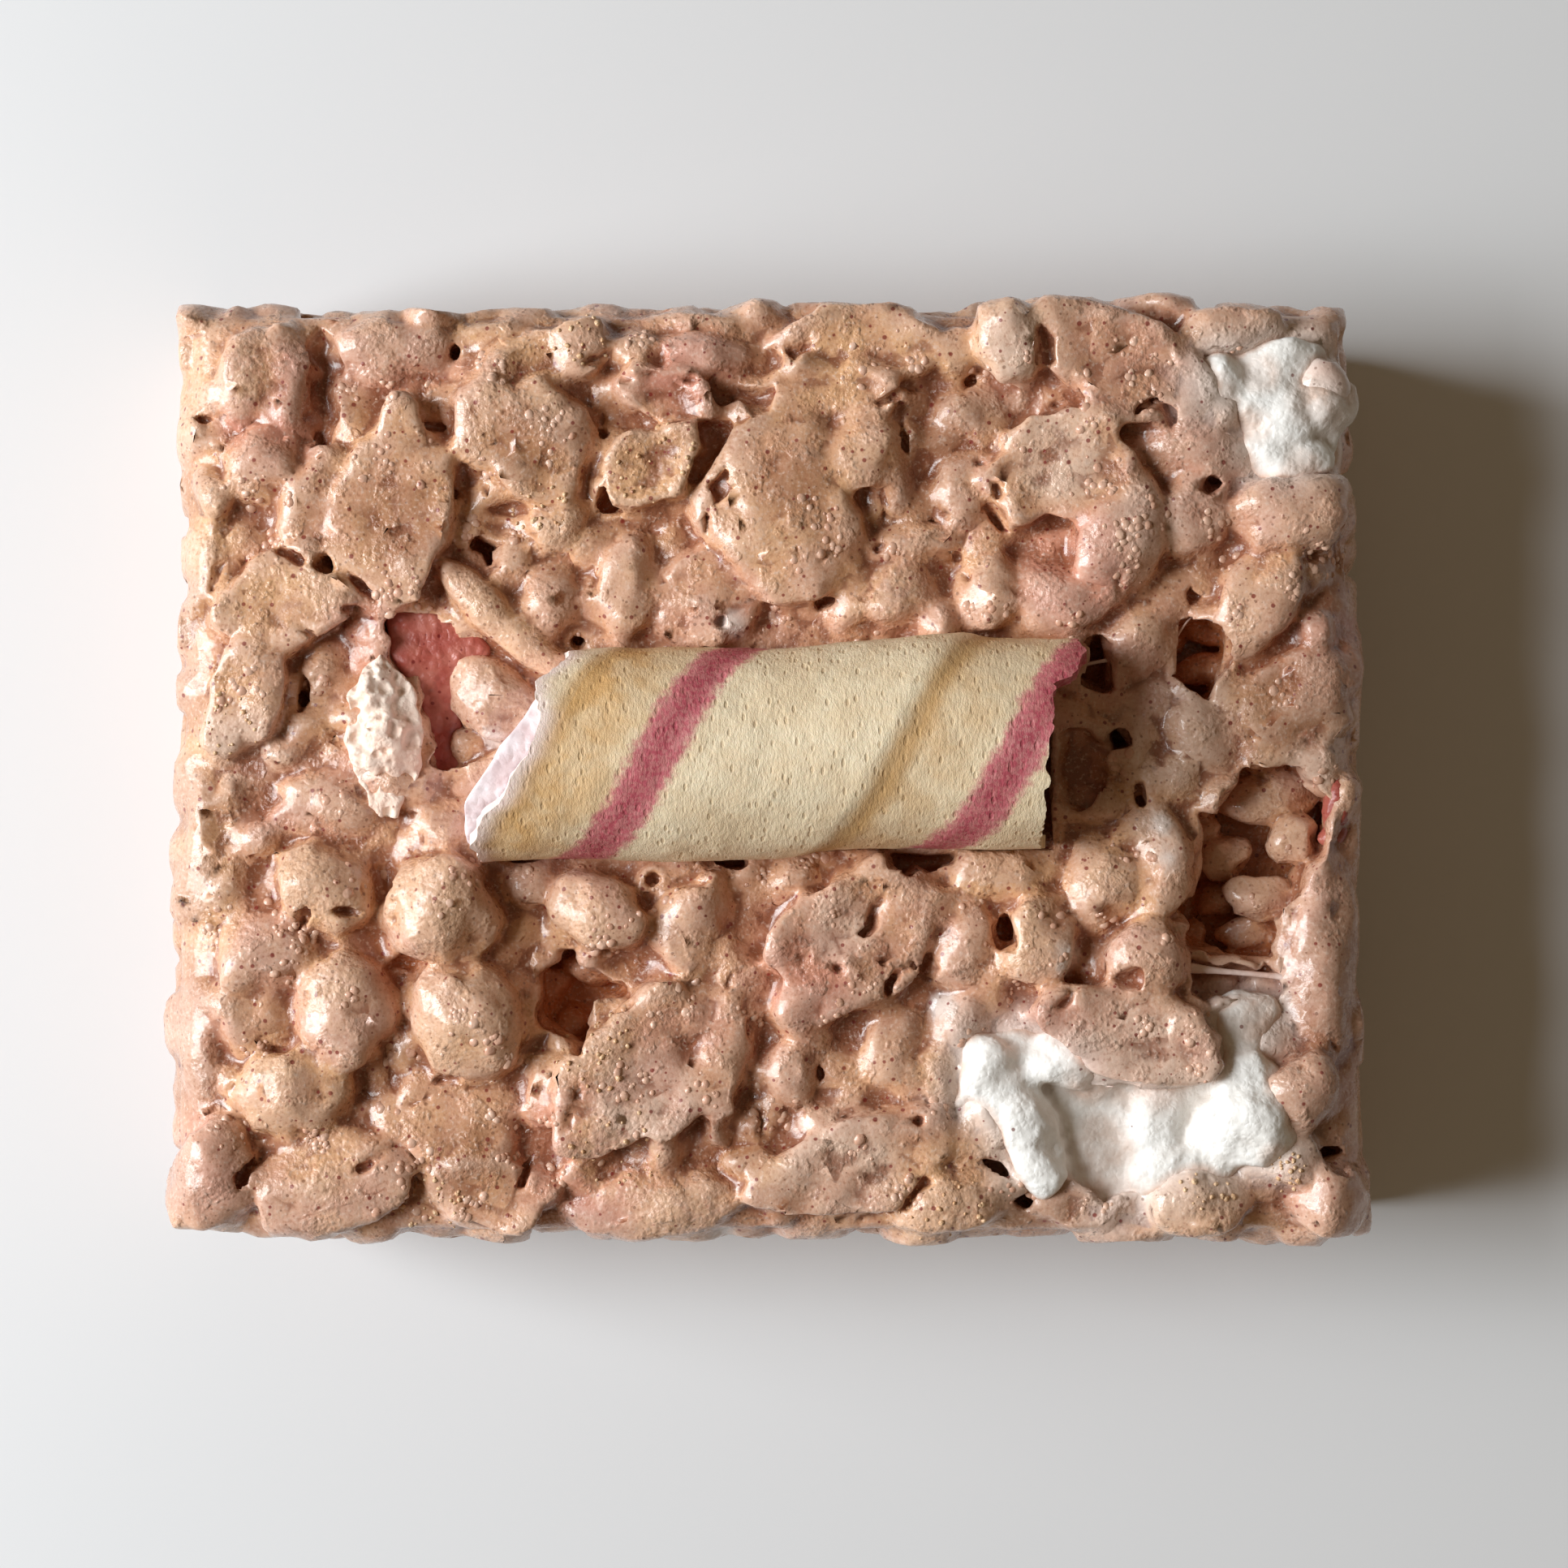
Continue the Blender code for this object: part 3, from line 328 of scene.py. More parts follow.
# thin cracks under the rims of overlapping pieces: x, y, length, width, turn, bend, depth
cracks = [
    (-30.8, -10.7, 6, 0.9, 88, 1.6, 1.6), (-21.6, -6.9, 5, 1.2, -12, 0.8, 2), (-29.8, -15.8, 3.6, 1.3, 8, 0.4, 2),
    (-34.4, -11.9, 5, 1, -6, 0.8, 1.6), (-27.6, -25.9, 6, 0.8, 28, -1.8, 1.6), (-26.4, -32.9, 3.4, 0.9, -24, 0.3, 2),
    (-38.7, -29.8, 2.6, 0.9, 5, 0.2, 1.8), (-42.2, -32.6, 5, 1.2, 44, 0.4, 1.8), (-44.6, -26.4, 2.2, 0.8, 70, 0, 1.4),
    (-40.4, -22.9, 3.2, 1, 30, 0, 1.6), (-12.8, -15, 5.4, 0.9, -18, 0.8, 1.6), (-15.6, -27.4, 5, 0.8, 82, 0.8, 1.6),
    (-42.4, -4, 1.6, 1, 0, 0, 1.6), (-46.2, 29.6, 2.6, 1.4, 20, 0, 1.6), (-44.6, 28.3, 2.2, 0.9, 40, 0, 1.4),
    (-37.4, 32, 12.5, 3.6, 90, 0, 1.3), (-40.3, 18.6, 4.6, 0.9, -25, 0.2, 1.6), (-33.4, 15.7, 3.6, 0.8, -40, 0, 1.6),
    (-34.4, 13.9, 1.8, 0.8, 5, 0, 1.8), (-38, 12, 2.6, 0.8, -45, 0, 1.4), (-45.6, 16.6, 4, 1.4, 62, 0, 1.2),
    (-35.6, 34, 3.6, 0.8, 115, 0.6, 1.2), (-28, 28.7, 2.4, 1, -20, 0, 1.6), (-21.6, 36.3, 2.2, 0.8, 10, 0, 1.4),
    (-13.9, 34.5, 2.6, 2, 40, 0, 1.4), (-11.6, 32.1, 4.4, 1.2, 0, -0.4, 1.8), (-8.9, 33.2, 3, 0.7, 0, 0.3, 1.4),
    (-6.2, 32.3, 2, 0.8, -10, 0, 1.6), (-2.5, 31.4, 5, 2.6, 0, 0, 1.5), (2.6, 34.5, 2.4, 1.3, -8, 0, 2),
    (0.8, 32.4, 4.2, 0.8, 55, -0.3, 1.4), (-2.6, 28.6, 5.4, 0.9, 42, -0.4, 1.5), (-5.2, 28.2, 3, 0.8, 60, 0, 1.5),
    (-4.7, 23.8, 2, 1, 75, -0.6, 1.8), (-8.1, 20.2, 2, 1.1, 5, 0, 2.4), (-14.7, 15.2, 2.2, 0.8, 85, 0, 1.8),
    (-23.8, 25, 1.6, 0.8, -60, 0, 1.4), (-21.4, 21.9, 3, 1, -10, 0, 1.2), (2.1, 20.3, 1.8, 0.8, 55, 0, 1.4),
    (2.4, 17.8, 2, 0.7, 85, 0, 1.4), (4.6, 17.6, 3.6, 0.8, 8, 0.3, 1.4), (4.3, 14.2, 2.4, 1.9, 0, 0, 1.5),
    (-11.6, 28.6, 4.8, 0.7, 12, -0.4, 1.2), (9.9, 30.8, 3.6, 0.9, 35, 0.2, 1.8), (12.6, 32, 3.6, 0.8, 8, 0, 1.5),
    (16.9, 28.8, 1.5, 0.7, 100, 0, 1.4), (11.1, 27.2, 6.4, 0.9, 96, -0.8, 1.6), (9.5, 21.4, 3.4, 1, 92, 0, 1.6),
    (9.2, 18.2, 1.8, 1.2, 30, 0, 1.6), (18, 24.8, 4.6, 1, 112, 0.3, 1.8), (18.3, 21.5, 3.6, 0.9, -40, 0, 1.6),
    (23.4, 30.5, 5.2, 0.8, 6, 0.3, 1.8), (25.2, 31.9, 3.6, 0.7, -15, 0.5, 1.4), (31.8, 31.2, 3.8, 1, 32, 0, 2),
    (32.6, 29.3, 3.2, 1.1, -60, 0, 2), (15.4, 17.8, 3.8, 1.2, -62, 0, 2), (13.2, 22, 2.8, 0.7, -50, 0, 1.4),
    (28.8, 14.9, 3.6, 0.9, 98, 0, 1.6), (22.7, 34.4, 5, 1.6, 98, 0, 1.2), (25.4, 0.4, 6.6, 7.4, 82, 0, 1.9),
    (-0.6, -28.2, 3.6, 1.4, 108, 0.4, 1.4), (12.8, -27.6, 3, 1, 18, -0.5, 1.8),
    (10.8, -17.6, 5.4, 1.4, 56, -0.3, 1.8), (8.6, -37, 5, 1, 22, 0, 1.6), (-5, -35.6, 2.4, 1, 80, 0, 1.4),
    (20.8, -18, 3.4, 0.9, -8, -0.4, 1.6), (25.4, -17.8, 4.6, 0.9, 30, -0.6, 1.6), (29, -17, 3.6, 1.8, 0, 0, 1.4),
    (39.6, 4, 4.4, 0.9, 110, 0.5, 1.2), (12, -35, 4.4, 1, 50, 0.6, 1.8), (8, -12, 4.4, 1, 62, 0.3, 1.2),
    (-11.6, -18.6, 4, 1, 34, 0, 2), (-2.2, -17.4, 2.6, 0.8, 60, 0, 1.2), (-6.2, -9.6, 3.4, 1.4, 20, 0, 1.2),
    (43.8, -24, 2.6, 0.8, -40, 0, 1.2), (46.8, -23, 3.4, 0.8, 110, -0.4, 1.2), (-4.6, 21, 8, 0.8, 72, -1, 1.4),
    (9.6, 24.6, 5, 0.8, 70, 0.8, 1.4), (-25.4, 24.6, 7, 0.8, 78, 0.5, 1.4), (-37.2, 8.6, 4.6, 0.8, 60, 0.4, 1.2),
    (-13.6, 28.6, 4, 0.8, 80, 0, 1.4), (21.8, -19.6, 3, 0.8, 10, 0, 1.2), (-31.6, -31.6, 6, 0.8, 24, 0.6, 1.4),
    (-20.2, -32.6, 6, 0.8, 70, 0.6, 1.4), (-1.4, -20, 4.6, 0.7, 84, 0, 1.2), (13.2, -16.8, 3, 0.8, 60, 0, 1.4),
    (-38.6, -13, 4.4, 0.8, 66, 0.6, 1.4), (36.8, -32.8, 4, 0.7, 30, 0.4, 1.2), (35, 17.6, 2.4, 0.8, 90, 0, 1.8),
    (-33, -9, 2.8, 0.8, 70, 0.4, 1.4), (-31.8, -25, 3.6, 0.8, -70, 0.4, 1.4),
]
# grains that lie down in the gaps: x, y, length, width, turn, lift
gapGrains = [
    (41.8, -1.9, 9, 5, -4, -3.4), (44, -5.7, 4.6, 4.2, 60, -2.2), (41.6, -10.4, 6.4, 3.8, -8, -2.6),
    (38.4, -7, 4.8, 3.8, 20, -3.8), (41, -13.4, 5.4, 3.4, 10, -4.2), (36.6, -4.8, 3.8, 3.2, 60, -4),
    (35.8, -14.2, 3.6, 2.6, 70, -4.8), (38, -10.6, 3.4, 2.8, 30, -5.4), (36.7, 8.8, 4.6, 2.4, 8, -3.4),
    (37, 11.9, 4.4, 2.4, -12, -3.8), (34.6, 11.6, 3, 2, 60, -4.6), (27.2, 8, 3.4, 2.2, 80, -4.4),
    (-16.8, -21.2, 4, 3, 40, -3.8), (-15, -16.4, 4.4, 2.8, -14, -3), (-18.2, -18, 3.4, 2.8, 70, -3.8),
    (37.2, -18, 4.6, 2.8, 10, -2.6), (41.6, -18.2, 4, 2.8, -20, -2.2), (19, -33, 3.4, 1.8, -30, -3.4),
    (-22.8, 6, 8.8, 6.6, -38, -0.1), (-24.4, 2.2, 4.8, 4.6, 30, -2), (-22.6, 2.8, 4, 3.4, 50, -1.2),
]
# blisters with a thin rim around a small hole: x, y, diameter
blisters = [
    (-9.5, -8.8, 1.7), (-6.3, -8, 1.2), (6.2, -16.3, 1.4), (3.6, -15.3, 0.9), (12.5, -13, 1.1), (-14.9, -20.9, 1.7),
    (5.5, 22.3, 1.2), (2, 20.5, 1), (9, 18.5, 0.9), (2.5, 34.5, 1.3), (-4.4, 12.6, 1.2), (-26, -17.4, 1),
    (14.5, -3, 1), (-33.4, -28.2, 1), (23.2, 34, 0.9), (-3.6, -27.6, 1),
]
# round places, as x, y, radius: golden crust, pinker glaze, a milky or tan film, pools of white glaze that are
# painted highlights too, what glaze has levelled, and glaze on the marshmallow
places = {
    "crust": [
        (-15.8, -12, 2.6), (-28.2, -9.6, 3.4), (-38.6, -8.4, 3.2), (-48.6, 2, 3.6), (-48.6, 32, 3.6),
        (14.6, -36, 4.4), (-14.6, -22, 3.6), (-9.7, 25.8, 4.6), (10.4, 15, 2.4), (-43.7, 33, 3), (-23, 7, 2.4),
        (14, -24.7, 2.2), (-12.5, -31, 4.2), (-27, -22, 2.6), (-49, -12, 4), (-48, 20, 4), (36.4, -35.4, 2.4),
        (-17, 19.6, 2), (-37, -32, 3), (42.6, -32.6, 1.8), (34, 2.6, 2.4), (-7, -37, 4), (-36, -16.6, 2.6),
        (-40.6, -23.4, 2.2), (30, -1, 2.6),
    ],
    "pink": [
        (-41, 30, 5), (-15, -31, 6), (22.5, -23, 4), (3, -17, 4), (46, 10, 5), (-33.5, 11.5, 3), (30, 8, 3),
        (-6, 33, 4), (25, 17, 5), (-47, -33, 4),
    ],
    # three milky spots, at (15, -19.6), (25.2, -15) and (32.6, -5), are painted highlights
    "milky": [
        (29.5, -25, 6), (15, -19.6, 1.6), (31.5, 21, 2.6), (20, 31.6, 2.2), (33.6, 3.6, 4.6), (38.5, 33.5, 3),
        (32.6, -5, 2.2), (45.4, 1, 2.4), (25.2, -15, 1.4), (-43.5, 2, 3), (20.2, 35.8, 2.4), (24, 26, 3.6),
        (6, -32, 4.4), (-10, -27, 4), (6, -13, 2.6),
    ],
    "tan": [
        (44.2, -26.4, 3.6), (46.8, -15, 3), (47, -19, 3), (46.8, -23, 2.6), (44, 6.4, 4.2), (-25, -32, 3),
        (-37.6, 31, 2.4), (-3, -31, 3), (0.5, -35.6, 2), (12, -20, 2.6), (23, -36.6, 3), (12.6, 23.4, 2.4),
        (14, 28.4, 3.2), (-3, 29.4, 2.6), (45.4, 16, 3), (26, 0.4, 3.2), (-20, 27, 3), (-30, 20.5, 3.6),
        (-49.6, -34, 2.6), (-49.6, -26, 3.4), (-49.6, -18, 3.4), (-49.6, -10, 3.4), (-49.4, -2, 3.4), (-49.4, 6, 3),
        (-49.4, 14, 3), (-49.4, 23, 2.4), (-22.6, 5.4, 3.2), (2, 24, 2.8),
    ],
    # painted highlights: small pools of white glaze
    "pool": [
        (14.4, -19.4, 1.1), (24.9, -15, 0.9), (24.4, -16.2, 0.7), (32.5, -4.2, 0.9), (32.9, -7.2, 0.8),
        (-3, 12.3, 1.1), (-22.9, 2.9, 0.8), (-4, -39, 1),
    ],
    "smooth": [
        (-41, 34, 3.6), (-41, 27, 3), (44, 6, 4.6), (-47, -34, 3.4), (-22, -35.6, 2.6), (30, -36.6, 2.4),
        (-44.5, 0.5, 2.4), (36.5, 0.8, 2.4), (-35.6, 11.6, 2.6), (-28.6, 34.6, 3),
    ],
    # the spot at (28, -31) is also painted shade, in the hollow of the front marshmallow
    "film": [
        (31, -23.8, 4), (26.8, -25.2, 2.2), (39.6, -20, 2.8), (29.2, -36, 2.8), (46.2, 31.2, 3), (39.4, 28.6, 1.8),
        (37, 31.4, 1.8), (44, 25.2, 1.6), (40.6, 33, 1.6), (41.8, -31.8, 1.4), (28, -31, 2.4),
    ],
}
# white marshmallow: an outline, and x, y, z, length, width, height, turn of each lump
marshmallowSettings = {
    "marshmallowFront": {
        "lumps": [
            (17.8, -24.2, 24.9, 6.4, 5.2, 5, 60), (20.4, -23.4, 24.2, 5.8, 5.6, 4, 0),
            (23.8, -23.8, 24.9, 6.6, 5, 4.8, -10), (27.5, -24.8, 24, 8, 4.4, 4, -8),
            (17, -26.8, 24.2, 4.6, 2.8, 3.4, 20), (19.4, -26.8, 24.7, 6.8, 5.4, 4.8, -20),
            (21.4, -29.6, 25, 6.6, 5.6, 5.2, -60), (22.4, -32.4, 24.9, 6, 4.8, 5, -70),
            (33, -29, 23.6, 9.4, 8.8, 4.2, 0), (39.8, -28.8, 25.4, 8.6, 8.6, 6.8, 30),
            (40.6, -26.2, 25.4, 6.6, 7, 6, 60), (40, -30.4, 25.4, 5.6, 4.6, 5.6, 40),
            (35.4, -32.4, 24, 8.8, 5.4, 4.8, 25), (32.6, -33.6, 24.2, 5.4, 5, 4.6, 60),
            (39.4, -22.4, 24.3, 7.6, 7.2, 4.8, 60),
        ],
        "outline": [
            (15.2, -27), (15.8, -24.4), (17, -22.2), (19, -21.2), (22, -20.9), (26, -21.5), (32, -21.5),
            (35.5, -20.4), (36.8, -18.8), (39.5, -18), (41.6, -19.5), (42.6, -22), (43.2, -25), (43.4, -28.6),
            (42.6, -31), (40.2, -32.6), (36.4, -33.2), (33.4, -34.6), (31.6, -36.6), (28, -37.2), (25.4, -36.4),
            (22, -34.8), (20.2, -32.4), (17.8, -29.4),
        ],
        "high": 24.3, "triangles": 80000, "folds": 0.6, "grain": 0.14,
    },
    "marshmallowBack": {
        "lumps": [
            (37.2, 32.5, 24.7, 6.4, 5.4, 4.8, 10), (42.6, 34.4, 24.6, 6.4, 4, 4.4, 16),
            (42.4, 29.8, 25, 6, 7, 5.4, 60), (43, 26.4, 24.6, 8.4, 5, 4.8, -10), (45.4, 31, 24.7, 6.4, 6.4, 4.8, 30),
        ],
        "outline": [
            (34.6, 31.4), (35.6, 34.6), (38.8, 35.4), (41.6, 36.4), (45, 36), (47.6, 33.6), (48, 29.6), (47.2, 26),
            (44.4, 24.2), (40, 24.4), (39, 27.4), (38.4, 30.2), (36, 30),
        ],
        "high": 25.1, "triangles": 40000, "folds": 0.5, "grain": 0.16,
    },
}
marshmallowLow, marshmallowVoxel, marshmallowRounds = 20.5, 0.26, 24

# the drawn outline of the bar, seen from above
outline = {
    "back": ([-50, -42, -35, -27, -20, -15, 0, 10, 13, 16, 18, 22, 24, 42, 47.5],
             [39.2, 39.4, 38.9, 38.6, 38.8, 39.3, 39.5, 39.3, 38.6, 38.9, 40.2, 40.2, 40, 40, 38.9]),
    "front": ([-50, -44, -38.5, -37, -32.5, -31, -25, -18, -10, 0, 15, 22, 33, 40, 50.5],
              [-38, -38.6, -38.9, -40, -40.2, -38.9, -39.1, -39.4, -39.5, -39.3, -39.5, -39.2, -39.2, -39.5, -39.8]),
    "left": ([-39, -36, -30, -14, -9, 5, 15, 33, 39],
             [-49.4, -50.3, -51.1, -51.1, -50.7, -49.6, -49.3, -49.7, -49.4]),
    "right": ([-39, -30, -20, -10, 0, 15, 24, 28, 33, 40],
              [51.1, 50.3, 49.7, 49.5, 49.8, 49.9, 50.1, 49.7, 48.8, 48.2]),
}
# the rolled wafer; its bulges are x, side and height, its tears the angle around the roll and x
roll = {
    "axisY": 1.9, "axisZ": 27.2, "radius": 8.75, "wall": 1.1, "pitch": 29.4, "around": 220, "along": 200, "step": 0.28,
    "seamAt": 11.0, "creamRadius": 7.35, "tilt": 0.025, "from": -25, "to": 25.5, "bedLength": 48.4, "creamLength": 46.6,
    "creamTriangles": 26000,
    "bulges": [(14, 1, 0.5), (0.5, 1, -0.4), (-21, 1, -0.4), (-7, -1, 0.35), (12, -1, -0.35)],
    "leftTear": [
        (-180, -20.5), (-100, -23.2), (-58, -24), (-34, -22.7), (-21, -21.2), (-1, -19.2), (22, -18), (38, -18.7),
        (55, -18), (72, -16.2), (110, -17), (180, -20.5),
    ],
    "rightTear": [
        (-180, 23.2), (-70, 22.2), (-20, 22.4), (0, 22.7), (22, 22.8), (33, 23), (37, 24.6), (56, 25.8), (80, 25.5),
        (120, 24), (180, 23.2),
    ],
}


def torn(points):  # the wafer's left end is oblique: how far it sets in, in mm
    side = points[:, 1] - roll["axisY"]
    return 0.72 * np.maximum(side + 3.8, 0) * np.clip((-10 - points[:, 0]) / 14, 0, 1)


def rod(name, vertices, radius, length, middle):  # a cylinder along the wafer's axis
    deselect()
    bpy.ops.mesh.primitive_cylinder_add(vertices=vertices, radius=radius * mm, depth=length * mm)
    obj = bpy.context.object
    obj.rotation_euler = (0, math.radians(90), 0)
    obj.location = (middle * mm, roll["axisY"] * mm, roll["axisZ"] * mm)
    return join([obj], name)


def makeCore():
    s = massSettings
    slab = prism([(x * s["coreShare"], y * s["coreShare"]) for x, y in s["corners"]], s["coreFoot"], s["coreTop"], 0)
    rim = prism(s["corners"], s["rimLow"], s["rimTop"], s["rimInset"])  # it leans out to the top edge
    core = join([slab, rim], "core")
    applyModifier(core, "BEVEL", width=s["bevel"] * mm, segments=3, limit_method="ANGLE")
    return core


def inRoll(x, y, reach):
    return abs(y - roll["axisY"]) < roll["radius"] + 0.3 * reach and roll["from"] < x < roll["to"]


def seededGrains(kind, rng, taken):  # small grains that keep their distance from each other and from what is taken
    s = massSettings[kind]
    found = list(taken)
    for _ in range(s["tries"]):
        x, y, length = rng.uniform(-46.0, 46.0), rng.uniform(-35.6, 35.6), rng.uniform(*s["sizes"])
        if not inRoll(x, y, length) and all(math.hypot(x - px, y - py) > s["gap"] * (length / 2 + pr)
                                            for px, py, pr in found):
            found.append((x, y, length / 2))
    parts = []
    for x, y, half in found[len(taken):]:
        lean = (rng.uniform(-s["lean"], s["lean"]), rng.uniform(-s["lean"], s["lean"]))
        z = s["level"] + rng.uniform(*s["lift"])
        size = [share * half for share in s["shape"]]
        parts.append(lump((x, y, z), size, rng.uniform(0, 180), lean, 0.18, bend=s["bend"], press=s["press"], seed=x))
    return parts


# sticky glaze bridges the creases: the skin swells, fuses, and shrinks again
def bridgeCreases(obj, reach, voxel):
    applyModifier(obj, "DISPLACE", strength=reach * mm, mid_level=0)
    fuse(obj, voxel)
    soften(obj)
    applyModifier(obj, "DISPLACE", strength=-reach * mm, mid_level=0)
    fuse(obj, voxel)


def makeBase(rng):  # the slab, a lower layer of grains that shows in between, and flat grains under the slab
    parts = [makeCore()] + seededGrains("lower", rng, places["smooth"])
    s = massSettings["under"]
    for i in range(s["columns"]):
        for k in range(s["rows"]):
            x = (i - (s["columns"] - 1) / 2) * s["apart"][0] + rng.uniform(-s["stray"], s["stray"])
            y = (k - (s["rows"] - 1) / 2) * s["apart"][1] + rng.uniform(-s["stray"], s["stray"])
            size = (rng.uniform(*s["lengths"]), rng.uniform(*s["widths"]), s["height"])
            z = 1.0 + rng.uniform(-0.2, 0.5)
            parts.append(lump((x, y, z), size, rng.uniform(0, 180), uneven=0.2, seed=k, fineness=2))
    base = join(parts, "base")
    fuse(base, massSettings["baseVoxel"])
    bridgeCreases(base, massSettings["lowerGoo"], massSettings["baseVoxel"])
    return base


def sideGrains(rng):  # grains at every angle lie in the four cut faces
    s = massSettings["side"]
    corners = [Vector(corner) for corner in massSettings["corners"]]
    parts = []
    for start, end in zip(corners, corners[1:] + corners[:1]):
        side = end - start
        along = side.normalized()
        facing = math.degrees(math.atan2(along.y, along.x))
        out = Vector((along.y, -along.x))
        found = []
        for _ in range(s["tries"]):
            reach, z, half = rng.uniform(0.5, side.length - 0.5), rng.uniform(*s["heights"]), rng.uniform(*s["halves"])
            if all(math.hypot(reach - r, z - high) > s["gap"] * (half + h) for r, high, h in found):
                found.append((reach, z, half))
        for reach, z, half in found:
            spot = start + along * reach - out * rng.uniform(*s["sunk"])
            lean = (rng.uniform(-12, 12), rng.uniform(-90, 90))
            size = (2.3 * half, 3.6, 1.6 * half)
            parts.append(lump((spot.x, spot.y, z), size, facing, lean, 0.2, press=0.2, seed=reach))
    return parts


def makeMass():
    s = massSettings
    rng = random.Random(s["seed"])
    parts = [makeBase(rng)] + sideGrains(rng)
    for i, (x, y, length, width, turn, lift) in enumerate(flakes):
        lean = (rng.uniform(-s["flakeLean"], s["flakeLean"]), rng.uniform(-s["flakeLean"], s["flakeLean"]))
        parts.append(lump((x, y, s["pieceLevel"] + lift), (length, width, s["flakeThickness"]), turn, lean, 0.28,
                          cup=rng.uniform(-0.3, 0.7), press=0.6, seed=i, fineness=4))
    for i, (x, y, length, width, turn, lift) in enumerate(grains):
        bend = rng.uniform(-0.22, 0.22) if length > 1.35 * width else 0
        parts.append(lump((x, y, s["pieceLevel"] + lift), (length, width, max(3.0, s["grainHeight"] * width)), turn,
                          uneven=0.17, bend=bend, press=0.3, seed=i))
    taken = [(x, y, 0.46 * math.sqrt(length * width)) for x, y, length, width, turn, lift in flakes + grains]
    taken += places["smooth"]
    for white in marshmallowSettings.values():
        taken += [(x, y, 0.4 * length) for x, y, z, length, *rest in white["lumps"]]
    parts += seededGrains("upper", rng, taken)
    mass = join(parts, "cerealMass")
    print("mass joined from", len(parts), "pieces")
    fuse(mass, s["voxel"])
    bridgeCreases(mass, s["upperGoo"], s["voxel"])
    soften(mass)
    print("mass fused", triangleCount(mass))
    return mass


def carve(mass):
    s = massSettings
    rings, cutters = [], []
    for x, y, width in blisters:
        hit, place, slope = topOf(mass, x, y)
        deselect()
        bpy.ops.mesh.primitive_torus_add(location=place - Vector((0, 0, 0.05 * mm)), major_segments=28,
                                         minor_segments=10, major_radius=0.5 * width * mm, minor_radius=0.3 * mm)
        rings.append(bpy.context.object)
        cutters.append(lump((x, y, place.z / mm), (0.8 * width, 0.8 * width, 2.2), fineness=2))
    for x, y, length, width, turn, bend, depth in cracks:
        hit, place, slope = topOf(mass, x, y)
        size = (1.2 * length, 0.78 * width, 2 * depth)
        cutters.append(lump((x, y, place.z / mm + 0.3), size, turn, uneven=0.22, bend=bend))
    for spots, depth in gaps:
        cutters.append(prism(spots, s["pieceLevel"] + s["gapRim"] - depth, s["pieceLevel"] + 8))
    bed = rod("bed", 96, roll["radius"] - 0.1, roll["bedLength"], -0.5)
    points = pointsOf(bed)
    points[:, 0] += torn(points / mm) * mm
    setPoints(bed, points)
    mass = join([mass] + rings, "cerealMass")
    fuse(mass, s["voxel"])
    cutter = join(cutters + [bed], "cutter")
    fuse(cutter, 0.3)
    points = pointsOf(cutter)  # the walls of the gaps are torn, not straight
    tear = np.zeros((len(points), 3))
    for share, size, seeds in ((1.0, 1.1, (3, 17)), (1.6, 3.0, (5, 11))):
        for k in (0, 1):
            tear[:, k] += share * cloud(points, size * mm, seeds[k])
    inBed = (np.abs(points[:, 1] - roll["axisY"] * mm) < 9.6 * mm) & (np.abs(points[:, 0]) < 25.6 * mm)
    setPoints(cutter, points + s["tear"] * mm * tear * ~inBed[:, None])
    cutAway(mass, cutter)
    parts = [mass]
    for x, y, length, width, turn, lift in gapGrains:
        parts.append(lump((x, y, s["pieceLevel"] + lift), (length, width, 0.9 * width), turn, uneven=0.18))
    mass = join(parts, "cerealMass")
    fuse(mass, s["voxel"])
    soften(mass)
    print("mass carved", triangleCount(mass))
    return mass


def detail(mass):
    s = massSettings
    points = pointsOf(mass)
    high = np.clip((points[:, 2] / mm - 15) / 4, 0, 1)
    paintGroup(mass, "top", np.clip(points[:, 2] / mm - 1, 0, 1))
    paintGroup(mass, "crust", high * around(points, places["crust"]))
    roughen(mass, "CLOUDS", 2.6, 0.36, "top")
    roughen(mass, "CLOUDS", 1.1, 0.13, "top")
    roughen(mass, "VORONOI", 1.3, -0.12, "crust")
    mass.vertex_groups.clear()
    side = pointsOf(mass)[:, 2] < s["sideLevel"] * mm
    paintGroup(mass, "side", side, 1)
    drop = (1 - s["sideShare"]) * int(np.sum(side)) * 2  # about two triangles a point
    applyModifier(mass, "DECIMATE", ratio=1 - drop / triangleCount(mass), vertex_group="side", vertex_group_factor=1)
    print("sides thinned", triangleCount(mass))
    mass.vertex_groups.clear()
    thin(mass, s["triangles"])


def pressOutline(mass):  # the bar was cut, so its grains are flattened against a drawn outline
    x, y, z = (pointsOf(mass).astype(float) / mm).T
    wave = 0.13 * np.sin(x * 0.9 + z * 0.5) + 0.12 * np.sin(z * 0.8 - y * 0.4 + 2) + 0.1 * np.sin(x * 0.37 + y * 0.6)

    def keepInside(room):  # room left to the limit, never below zero
        return 0.5 * (room + np.sqrt(room ** 2 + massSettings["pressed"] ** 2))

    high = np.clip((z - 8) / 8, 0, 1)
    for beyond, most, fall in ((-46 - x, 6, 0.12), (x - 45.8, 6, 0.1), (np.abs(y) - 37.4, 4, 0.2)):
        z = z - np.clip(beyond, 0, most) ** 2 * fall * high
    inset = 0.35 * np.clip(1 - z / 20, 0, 1)  # the foot is a little narrower
    left = np.interp(y, *outline["left"]) + inset + wave
    right = np.interp(y, *outline["right"]) - inset - wave
    x = left + keepInside(x - left)
    x = right - keepInside(right - x)
    front = np.interp(x, *outline["front"]) + inset + wave
    back = np.interp(x, *outline["back"]) - inset - wave
    y = front + keepInside(y - front)
    y = back - keepInside(back - y)
    z = np.where(z < 1.2, np.maximum(z, 0), z)
    setPoints(mass, np.stack([x, y, z], 1) * mm)


